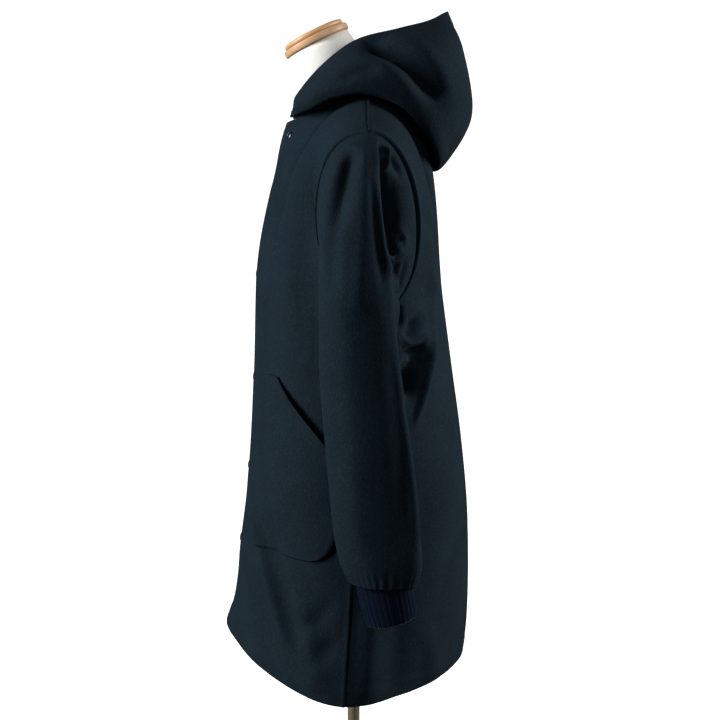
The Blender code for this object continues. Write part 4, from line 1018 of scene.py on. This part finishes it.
def make_hood(name, front, solid, flip, seed=None):
    """One half of the hood, from the neckline to the centre seam."""
    edge, edge_normals = neckline(front)
    along = tangents(edge, 0)
    along[-1] = (-1, 0, 0)
    beyond = away_from(edge_normals, along, NECK_MIDDLE - edge)
    shares = run_along(edge, 0)
    shares = shares / shares[-1]
    sections = curve_at(np.linspace(HOOD_HOLD, 1, len(HOOD)), np.array(HOOD), shares)
    grown = ease(shares, -0.03, 0.12)[:, None]
    stand = edge + unit(beyond + edge_normals * 0.8) * 0.007 * grown
    over = stand + edge_normals * 0.006 * grown
    chains = np.concatenate([sections, over[:, None], stand[:, None]], axis=1)
    grid = np.stack([curve_at(np.arange(7.0), chain, HOOD_STOPS) for chain in chains])
    normals = normals_of(grid)
    outwards = np.sign(normals[:, :HOOD_OUTSIDE, 0].sum())
    normals *= outwards
    folds = shifted(FOLDS_HOOD, seed, 0.005) if seed else FOLDS_HOOD
    fade = ease(3.0 - HOOD_STOPS, 0, 0.8)[None, :] * ease(HOOD_STOPS, 0, 0.4)[None, :]
    fade = fade * ease(shares, 0.02, 0.12)[:, None]
    grid = pressed(grid, normals, folds, fade)
    from_rim = run_along(grid, 1)
    raised = beside(run_back(grid, 0), 0.0011 if front == "left" else 0.0004, 0.004, 0.001)
    raised += 0.0007 * (1 - ease(from_rim, 0.018, 0.024)) * ease(shares, 0.05, 0.2)[:, None]
    grid += normals * (raised * ease(5.0 - HOOD_STOPS, 0, 1.0)[None, :])[..., None]
    back = "back" if front == "left" else "back_right"
    tree = cloth_tree([BODY[front], BODY[back][:, ::-1]])
    low = (HOOD_STOPS >= 2.3) & (HOOD_STOPS <= 4.7)
    grid[:, low] = kept_clear(grid[:, low], tree, HOOD_CLEAR)
    start, start_normals = sewn_on(edge, edge_normals, grid[:, -1], beyond)
    outer = np.concatenate([grid, start[:, None]], axis=1)
    normals = normals_of(outer) * outwards
    normals[:, -1] = start_normals
    normals[-1, :, 0] = 0
    normals = unit(normals)
    outer[-1, :, 0] = SEAM / 2
    inner = outer - normals * WALL
    inner[-1, :, 0] = SEAM / 2
    sewn(name, outer, inner, solid, flip)


make_hood("left_hood", "left", "hood_left", False)
make_hood("right_hood", "right", "hood_right", True, seed=31)

# %% [markdown]
# The patch pocket is sewn flat on to the front along its curved outline. Only its slanted mouth is
# free, and it gapes a little, so it shows a dark line. The patch takes the points of the panel below
# it and moves them out, so it follows every wave of the front.

# %% Pockets
POCKET_EDGE = (
    (0.7535, 0.42, 0.8),
    (0.76, 0.365, 0.862),
    (0.778, 0.33, 0.905),
    (0.803, 0.322, 0.928),
    (0.845, 0.322, 0.938),
    (0.885, 0.322, 0.928),
    (0.915, 0.325, 0.853),
    (0.945, 0.332, 0.757),
    (0.97, 0.355, 0.668),
    (0.988, 0.405, 0.592),
    (0.997, 0.45, 0.553),
)
POCKET_LIFT = 0.0016
MOUTH_GAPE = 0.006
MOUTH_FOOT = (0.865, 0.915)     # heights between which the mouth starts to gape, and closes again
MOUTH_HEAD = (0.965, 0.997)
PATCH_GRID = (64, 56)
PATCH_START = 30                # row of the front from which the pocket's points are read


def make_pocket(name, key, shares, solid, flip):
    """One patch pocket on its front, with a gaping mouth."""
    stops = run_along(np.array(POCKET_EDGE), 0)
    rows = curve_at(stops, POCKET_EDGE, np.linspace(stops[0], stops[-1], PATCH_GRID[0]))
    below = UNDER.copy()
    below[:PATCH_START] = False
    columns = {}
    patch = np.zeros((*PATCH_GRID, 3))
    across = np.linspace(0, 1, PATCH_GRID[1])
    for i, (z, front, back) in enumerate(rows):
        for j, t in enumerate(across):
            share = round(float(front + (back - front) * t), 3)
            if share not in columns:
                columns[share] = np.stack([read_off(share, line, row) for line, row in zip(
                    shares[below][::2], BODY[key][below][::2])])
            patch[i, j] = read_off(z, columns[share][:, 2], columns[share])
    normals = normals_of(patch)
    heights = rows[:, 0][:, None]
    gape = ease(heights, *MOUTH_FOOT) * (1 - ease(heights, *MOUTH_HEAD)) * across**6
    from_mouth = run_back(patch, 1)
    edge = np.minimum.reduce([run_along(patch, 1), from_mouth, run_along(patch, 0), run_back(patch, 0)])
    soft = 0.0007 * ease(edge, 0, 0.006) + 0.0005 * np.exp(-(((edge - 0.004) / 0.003) ** 2))
    facing = ease(heights, 0.86, 0.9) * (1 - ease(from_mouth, 0.015, 0.0195))
    inner = patch + normals * (POCKET_LIFT + MOUTH_GAPE * gape)[..., None]
    outer = inner + normals * (WALL + soft + 0.0007 * facing)[..., None]
    return sewn(name, outer, inner, solid, flip)[1]


left_pocket = make_pocket("left_pocket", "left", LEFT_SHARES, "pocket_left", False)
right_pocket = make_pocket("right_pocket", "right", RIGHT_SHARES, "pocket_right", True)

# %% [markdown]
# Stitches hold the pocket: one line runs beside its mouth, and a short bar keeps the mouth's upper
# end from tearing. A stitch is a small stretched bead that sinks into the wool, so one bead is
# modelled, and copied along a line drawn on the pocket's own points.

# %% Stitches
STITCH_LENGTH = 0.0030
STITCH_GAP = 0.0012
STITCH_INSET = 0.0125       # from the mouth to the line of stitches beside it


def bead():
    """Points and faces of one stitch along X, with a flat underside."""
    mesh = bmesh.new()
    bmesh.ops.create_uvsphere(mesh, u_segments=8, v_segments=6, radius=0.5)
    points = np.array([v.co[:] for v in mesh.verts]) * (STITCH_LENGTH, 0.0009, 0.0009)
    faces = [[v.index for v in face.verts] for face in mesh.faces]
    mesh.free()
    return points, faces


def stitched(name, lines):
    """One mesh with a stitch on every stretch of the given lines: pairs of points and normals."""
    points, faces = bead()
    all_points, all_faces = [], []
    for line, normals in lines:
        along = run_along(line, 0)
        places = np.arange(STITCH_LENGTH / 2, along[-1], STITCH_LENGTH + STITCH_GAP)
        middles = read_off(places, along, line)
        ups = unit(read_off(places, along, normals))
        ways = unit(read_off(places + 0.0005, along, line) - read_off(places - 0.0005, along, line))
        for middle, up, way in zip(middles, ups, ways):
            side = unit(np.cross(up, way))
            turn = np.stack([way, side, np.cross(way, side)])
            base = len(all_points) * len(points)
            all_points.append(points @ turn + middle)
            all_faces += [[i + base for i in face] for face in faces]
    mesh = bpy.data.meshes.new(name)
    mesh.from_pydata(np.concatenate(all_points).tolist(), [], all_faces)
    mesh.shade_smooth()
    dressed(in_collection(name, mesh), THREAD, "wool_coating")
    print(name, "stitches:", len(all_points))


THREAD = nap_material("wool_thread", (0.003, 0.005, 0.008), (0.012, 0.018, 0.024), 2500.0, 0.3,
                      0.75, 0.0002, **{"Specular IOR Level": 0.3})


def mouth_lines(outer, flip):
    """Lines of stitches on a pocket: one beside the mouth, and a bar at its upper end."""
    normals = normals_of(outer) * (-1 if flip else 1)
    line, ups = [], []
    for i in np.flatnonzero((outer[:, -1, 2] > 0.875) & (outer[:, -1, 2] < 0.992)):
        across = run_along(outer[i], 0)
        slope = abs(unit(outer[i + 1, -1] - outer[i - 1, -1])[2])
        back = across[-1] - STITCH_INSET / max(0.35, slope)
        if back > 0.004:
            line.append(read_off(back, across, outer[i]))
            ups.append(read_off(back, across, normals[i]))
    return [(np.array(line), np.array(ups)), (outer[-3, 3:12], normals[-3, 3:12])]


stitched("left_mouth_stitches", mouth_lines(left_pocket, False))
stitched("right_mouth_stitches", mouth_lines(right_pocket, True))

# %% [markdown]
# The front closes with snap caps of dark metal. A cap is a shallow dome with a rolled rim. It is
# modelled once with operators, a cylinder whose top is inset and raised, and then copied to each
# place, because all of them are pressed by the same tool.

# %% Snap caps
SNAP_RADIUS = 0.0058
SNAP_HEIGHT = 0.0018
SNAP_CLEAR = 0.0002
SNAP_STEPS = ((0.0006, 0.0003), (0.0005, -0.0003), (0.0012, 0.0007), (0.0018, 0.0002))
# distance from the front edge, and rise, of each snap from the top down
SNAPS = ((0.036, 1.895), (0.025, 1.629), (0.025, 1.146), (0.025, 0.778), (0.025, 0.556), (0.025, 0.333))
STUD = (0.03, 1.895)
STUD_SCALE = (0.8, 0.8, 0.9)


def make_metal(name, colour, rough, metallic, scale):
    """Metal with fine wear: small scratches in roughness and a slight change of colour."""
    material, tree = new_material(name, **{"Metallic": metallic})
    fine = noise(tree, object_place(tree), scale, 4.0, 0.6)
    dark = tuple(c * 0.75 for c in colour)
    tone = blended(tree, "MIX", fine, (*dark, 1), (*colour, 1))
    wear = ranged(tree, fine, 0.0, 1.0, rough * 0.8, rough * 1.3)
    return finished(material, tone, fine, 0.25, 0.0001, wear)


SNAP_METAL = make_metal("snap_metal", (0.05, 0.06, 0.08), 0.3, 1.0, 900.0)
POLE_PAINT = make_metal("stand_metal", (0.26, 0.23, 0.15), 0.42, 0.35, 140.0)


def faces_by(mesh, test):
    """Selects the faces of a mesh in edit mode that pass a test, and nothing else."""
    edit = bmesh.from_edit_mesh(mesh)
    for face in edit.faces:
        face.select_set(False)
    for face in edit.faces:
        if test(face):
            face.select_set(True)
    edit.select_flush(True)
    bmesh.update_edit_mesh(mesh)


def turned(name, radius, height, lift, steps, bevel, segments=4, centre=Vector((0, 0, 0)), tilt=0.0, sides=96,
           sharp=40, smooth=35):
    """A disc as from a lathe: its top is inset and raised in steps, and its rims are rounded."""
    axis = Vector((0, -math.sin(tilt), math.cos(tilt)))
    bpy.ops.object.select_all(action="DESELECT")
    bpy.ops.mesh.primitive_cylinder_add(vertices=sides, radius=radius, depth=height,
                                        location=centre + axis * (lift + height / 2), rotation=(tilt, 0, 0))
    disc = bpy.context.object
    disc.name = disc.data.name = name
    bpy.ops.object.transform_apply(location=True, rotation=True, scale=True)
    bpy.ops.object.mode_set(mode="EDIT")
    bpy.ops.mesh.select_mode(type="FACE")
    for inset, rise in steps:
        faces_by(disc.data, lambda face: face.normal.dot(axis) > 0.9 and len(face.verts) > 4)
        bpy.ops.mesh.inset(thickness=inset, depth=rise)
    bpy.ops.object.mode_set(mode="OBJECT")
    rounding = disc.modifiers.new("rounding", "BEVEL")
    rounding.width = bevel
    rounding.segments = segments
    rounding.angle_limit = math.radians(sharp)
    bpy.ops.object.modifier_apply(modifier="rounding")
    bpy.ops.object.shade_smooth_by_angle(angle=math.radians(smooth))
    return disc


def placed_copy(thing, name, solid, point, normal, scale=(1, 1, 1)):
    """A copy with its own mesh, its flat back just over a point and its face along a normal."""
    copy = thing.copy()
    copy.data = thing.data.copy()
    copy.name = name
    bpy.context.scene.collection.objects.link(copy)
    turn = Vector(normal).to_track_quat("Z", "Y").to_matrix().to_4x4()
    place = Matrix.Translation(Vector(point + normal * SNAP_CLEAR))
    copy.data.transform(place @ turn @ Matrix.Diagonal((*scale, 1)))
    dressed(copy, SNAP_METAL, "snap_metal", solid)


def spot_on(grid, distance, rise):
    """The point of a front this far from its front edge, at this rise, and the normal there."""
    row = int(np.argmin(np.abs(RISES - rise)))
    along = run_along(grid[row], 0)
    return read_off(distance, along, grid[row]), unit(read_off(distance, along, normals_of(grid)[row]))


cap_model = turned("snap", SNAP_RADIUS, SNAP_HEIGHT / 2, 0, SNAP_STEPS, 0.00015, segments=2, sides=40,
                   sharp=25, smooth=50)
for number, spot in enumerate(SNAPS, start=1):
    placed_copy(cap_model, f"snap_cap_{number}", f"snap_{number}", *spot_on(BODY["left"], *spot))
point, normal = spot_on(BODY["right"], *STUD)
placed_copy(cap_model, "snap_stud", "stud_1", mirrored(point), mirrored(normal), STUD_SCALE)
bpy.data.objects.remove(cap_model)
print("snaps:", len(SNAPS) + 1)

# %% [markdown]
# The dress form is papier-mache covered with tight linen. Its solid already has the right shape, so a
# copy of it is merged into one mesh and subdivided, which rounds its rings. The linen is a plain
# weave: threads cross at right angles, so two sets of waves make its height.

# %% Linen of the form
def make_weave():
    """A plain weave in object space, upright and level threads, as a height."""
    group, given, put = group_of("plain weave", {"Threads": 1400.0}, ("Height",))
    part = node(group, "SeparateXYZ", {"Vector": object_place(group)}).outputs
    around = maths(group, "ADD", part[0], part[1])
    warp, weft = (maths(group, "SINE", maths(group, "MULTIPLY", way, given["Threads"]))
                  for way in (around, part[2]))
    both = maths(group, "MULTIPLY", maths(group, "MULTIPLY", warp, weft), 0.5)
    group.links.new(maths(group, "ADD", both, 0.5), put["Height"])
    return group


def linen_material():
    """Cream linen with slubs and a few soft marks of age."""
    material, tree = new_material("linen", **{
        "Sheen Weight": 0.15, "Sheen Roughness": 0.6, "Specular IOR Level": 0.25})
    nap = nap_on(tree, (0.86, 0.84, 0.79), (0.92, 0.91, 0.87), 300.0, 0.07)
    weave = node(tree, "Group", node_tree=make_weave()).outputs[0]
    both = maths(tree, "ADD", weave, maths(tree, "MULTIPLY", nap["Height"], 0.8))
    return finished(material, nap["Colour"], both, 0.4, 0.0003, nap["Roughness"])


LINEN = linen_material()


def smoothed_form():
    """A subdivided copy of the form's solid."""
    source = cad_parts["form"]
    mesh = bmesh.new()
    mesh.from_mesh(source.data)
    bmesh.ops.remove_doubles(mesh, verts=mesh.verts, dist=1e-6)
    bmesh.ops.join_triangles(mesh, faces=mesh.faces, angle_face_threshold=math.radians(30),
                             angle_shape_threshold=math.radians(60))
    sharp = mesh.edges.layers.float.new("crease_edge")
    for edge in mesh.edges:
        if edge.calc_face_angle(0) > math.radians(50):
            edge[sharp] = 0.9
    data = bpy.data.meshes.new("form_body")
    mesh.to_mesh(data)
    mesh.free()
    thing = in_collection("form_body", data)
    only(thing)
    rounder = thing.modifiers.new("rounder", "SUBSURF")
    rounder.levels = rounder.render_levels = 2
    bpy.ops.object.modifier_apply(modifier="rounder")
    thing.data.shade_smooth()
    return thing


form = smoothed_form()
dressed(form, LINEN, "linen", "form")
print("form faces:", len(form.data.polygons))

# %% [markdown]
# Two discs of pale wood close the neck. They are turned on a lathe, so their rims are rounded, and
# the grain runs across them. The upper disc is a little smaller, with a crowned top.

# %% Wooden cap
NECK_TILT = math.radians(26)
CAP_CENTRE = Vector((0.0, -0.0495, 1.448))
CAP_RADIUS = 0.0490
DISC_HEIGHT = 0.0092


def wood_material():
    """Pale beech: long stretched noise for the grain, with short dark pores."""
    material, tree = new_material("light_wood", **{
        "Coat Weight": 0.15, "Coat Roughness": 0.3, "Specular IOR Level": 0.4})
    lay = object_place(tree, (1.0, 0.14, 1.6))
    rings = noise(tree, lay, 120.0, 5.0, 0.55, 0.8)
    pores = noise(tree, lay, 900.0, 2.0)
    tone = blended(tree, "MIX", rings, (0.47, 0.26, 0.13, 1), (0.72, 0.46, 0.26, 1))
    spot = ranged(tree, pores, 0.6, 0.75, to_high=0.4)
    colour = blended(tree, "MULTIPLY", spot, tone, (0.62, 0.48, 0.38, 1))
    return finished(material, colour, pores, 0.2, 0.0002, ranged(tree, rings, 0.0, 1.0, 0.38, 0.55))


WOOD = wood_material()


ON_NECK = {"centre": CAP_CENTRE, "tilt": NECK_TILT}
lower = turned("cap_disc_lower", CAP_RADIUS, DISC_HEIGHT, 0, ((0.004, 0),), 0.0022, **ON_NECK)
dressed(lower, WOOD, "light_wood", "cap_lower")
upper = turned("cap_disc_upper", CAP_RADIUS - 0.0042, DISC_HEIGHT - 0.0022, DISC_HEIGHT + SEAM,
               ((0.0045, 0.0006), (0.012, 0.001), (0.018, 0.0004)), 0.0034, **ON_NECK)
dressed(upper, WOOD, "light_wood", "cap_upper")
print("cap discs:", lower.name, upper.name)

# %% [markdown]
# The stand is a painted steel tube on a round foot. Neither is seen in full, so both are plain: a
# turned foot with a collar that holds the tube.

# %% Pole and foot
FOOT_HEIGHT = 0.030
POLE_HEIGHT = 0.775 - FOOT_HEIGHT - 2 * SEAM
FOOT_STEPS = ((0.02, 0), (0.132, 0), (0.006, 0.004), (0.0005, 0.016))
pole = turned("pole_tube", 0.0095, POLE_HEIGHT, FOOT_HEIGHT + SEAM, ((0.0015, 0),), 0.0008)
dressed(pole, POLE_PAINT, "stand_metal", "pole")
foot = turned("round_foot", 0.18, 0.01, 0, FOOT_STEPS, 0.0016, sides=160)
dressed(foot, POLE_PAINT, "stand_metal", "base")
print("foot:", [round(v, 3) for v in foot.dimensions])

# %% [markdown]
# The photograph has a white studio behind the coat. A large sheet that curves up behind it has no
# corner to see. Its edge is bevelled with many segments, as a paper roll hangs in a studio.

# %% Backdrop
def make_backdrop():
    """A pale floor that curves up into a wall behind the coat."""
    bpy.ops.object.select_all(action="DESELECT")
    bpy.ops.mesh.primitive_plane_add(size=1, location=(0, 0, 0))
    sheet = bpy.context.object
    sheet.name = sheet.data.name = "backdrop"
    sheet.data.transform(Matrix.Diagonal((7.0, 12.0, 1, 1)))
    bpy.ops.object.mode_set(mode="EDIT")
    bpy.ops.mesh.select_mode(type="EDGE")
    edit = bmesh.from_edit_mesh(sheet.data)
    for edge in edit.edges:
        edge.select_set(all(v.co.x < -3 for v in edge.verts))
    bmesh.update_edit_mesh(sheet.data)
    bpy.ops.mesh.extrude_region_move(TRANSFORM_OT_translate={"value": (0, 0, 6)})
    bpy.ops.object.mode_set(mode="OBJECT")
    sheet.data.transform(Matrix.Translation((0, 0, -0.0005)))
    only(sheet)
    bend = sheet.modifiers.new("bend", "BEVEL")
    bend.width = 1.6
    bend.segments = 24
    bpy.ops.object.modifier_apply(modifier="bend")
    sheet.data.shade_smooth()
    material, tree = new_material("backdrop_paper", **{
        "Roughness": 0.9, "Specular IOR Level": 0.1, "Emission Strength": 0.15,
        "Emission Color": (1, 1, 1, 1)})
    fine = noise(tree, object_place(tree), 40.0, 2.0)
    tone = blended(tree, "MIX", fine, (0.93, 0.93, 0.93, 1), (0.96, 0.96, 0.96, 1))
    tree.links.new(tone, tree.nodes["Principled BSDF"].inputs["Base Color"])
    sheet.data.materials.append(material)
    sheet.visible_diffuse = False
    sheet.visible_glossy = False
    return sheet


BACKDROP = make_backdrop()
print("backdrop faces:", len(BACKDROP.data.polygons))

# %% [markdown]
# Two tall soft boxes stand at the coat's front and back, so the wool is lit at a low angle and its
# folds show. A weak light by the camera fills the shade. Nearly black wool needs far more light than
# white paper or linen does, so the backdrop and the form's neck have a lamp each that lights nothing
# else: this is light linking, and in a studio flags and grids do the same. The backdrop sends no
# light back on to the coat, because a white glow from all sides would make black wool look grey.

# %% Lights
# place, width and height, power, what it is aimed at, and the only things it lights
LIGHTS = {
    "front_light": ((0.85, -2.9, 2.0), (0.9, 1.8), 155.0, (0.1, 0.0, 1.25), None),
    "back_light": ((-0.25, 3.0, 1.95), (0.9, 1.8), 128.0, (0.1, 0.0, 1.25), None),
    "camera_light": ((2.9, 1.5, 1.5), (1.0, 1.0), 10.0, (0.1, 0.0, 1.2), None),
    "neck_light": ((2.3, 1.2, 2.2), (1.0, 1.0), 20.0, (0.0, -0.05, 1.45), (form, lower, upper)),
    "backdrop_light": ((-1.6, 0.0, 4.5), (1.6, 6.0), 180.0, (-2.4, 0.0, 0.0), (BACKDROP,)),
}


def add_lights():
    """Area lights that face the coat, two with things of their own to light, and a plain pale world."""
    for name, (place, size, power, aim, lit_things) in LIGHTS.items():
        data = bpy.data.lights.new(name, "AREA")
        data.shape = "RECTANGLE"
        data.size, data.size_y = size
        data.energy = power
        lamp = bpy.data.objects.new(name, data)
        lamp.location = place
        lamp.rotation_euler = (Vector(aim) - Vector(place)).to_track_quat("-Z", "Y").to_euler()
        bpy.context.scene.collection.objects.link(lamp)
        if lit_things:
            lit = bpy.data.collections.new("lit by " + name)
            for thing in lit_things:
                lit.objects.link(thing)
            lamp.light_linking.receiver_collection = lit
    world = bpy.data.worlds.new("studio")
    world.use_nodes = True
    world.node_tree.nodes["Background"].inputs[0].default_value = (0.95, 0.97, 1.0, 1)
    world.node_tree.nodes["Background"].inputs[1].default_value = 0.03
    bpy.context.scene.world = world
    bpy.context.scene.view_settings.view_transform = "Standard"


add_lights()
print("lights:", ", ".join(LIGHTS))
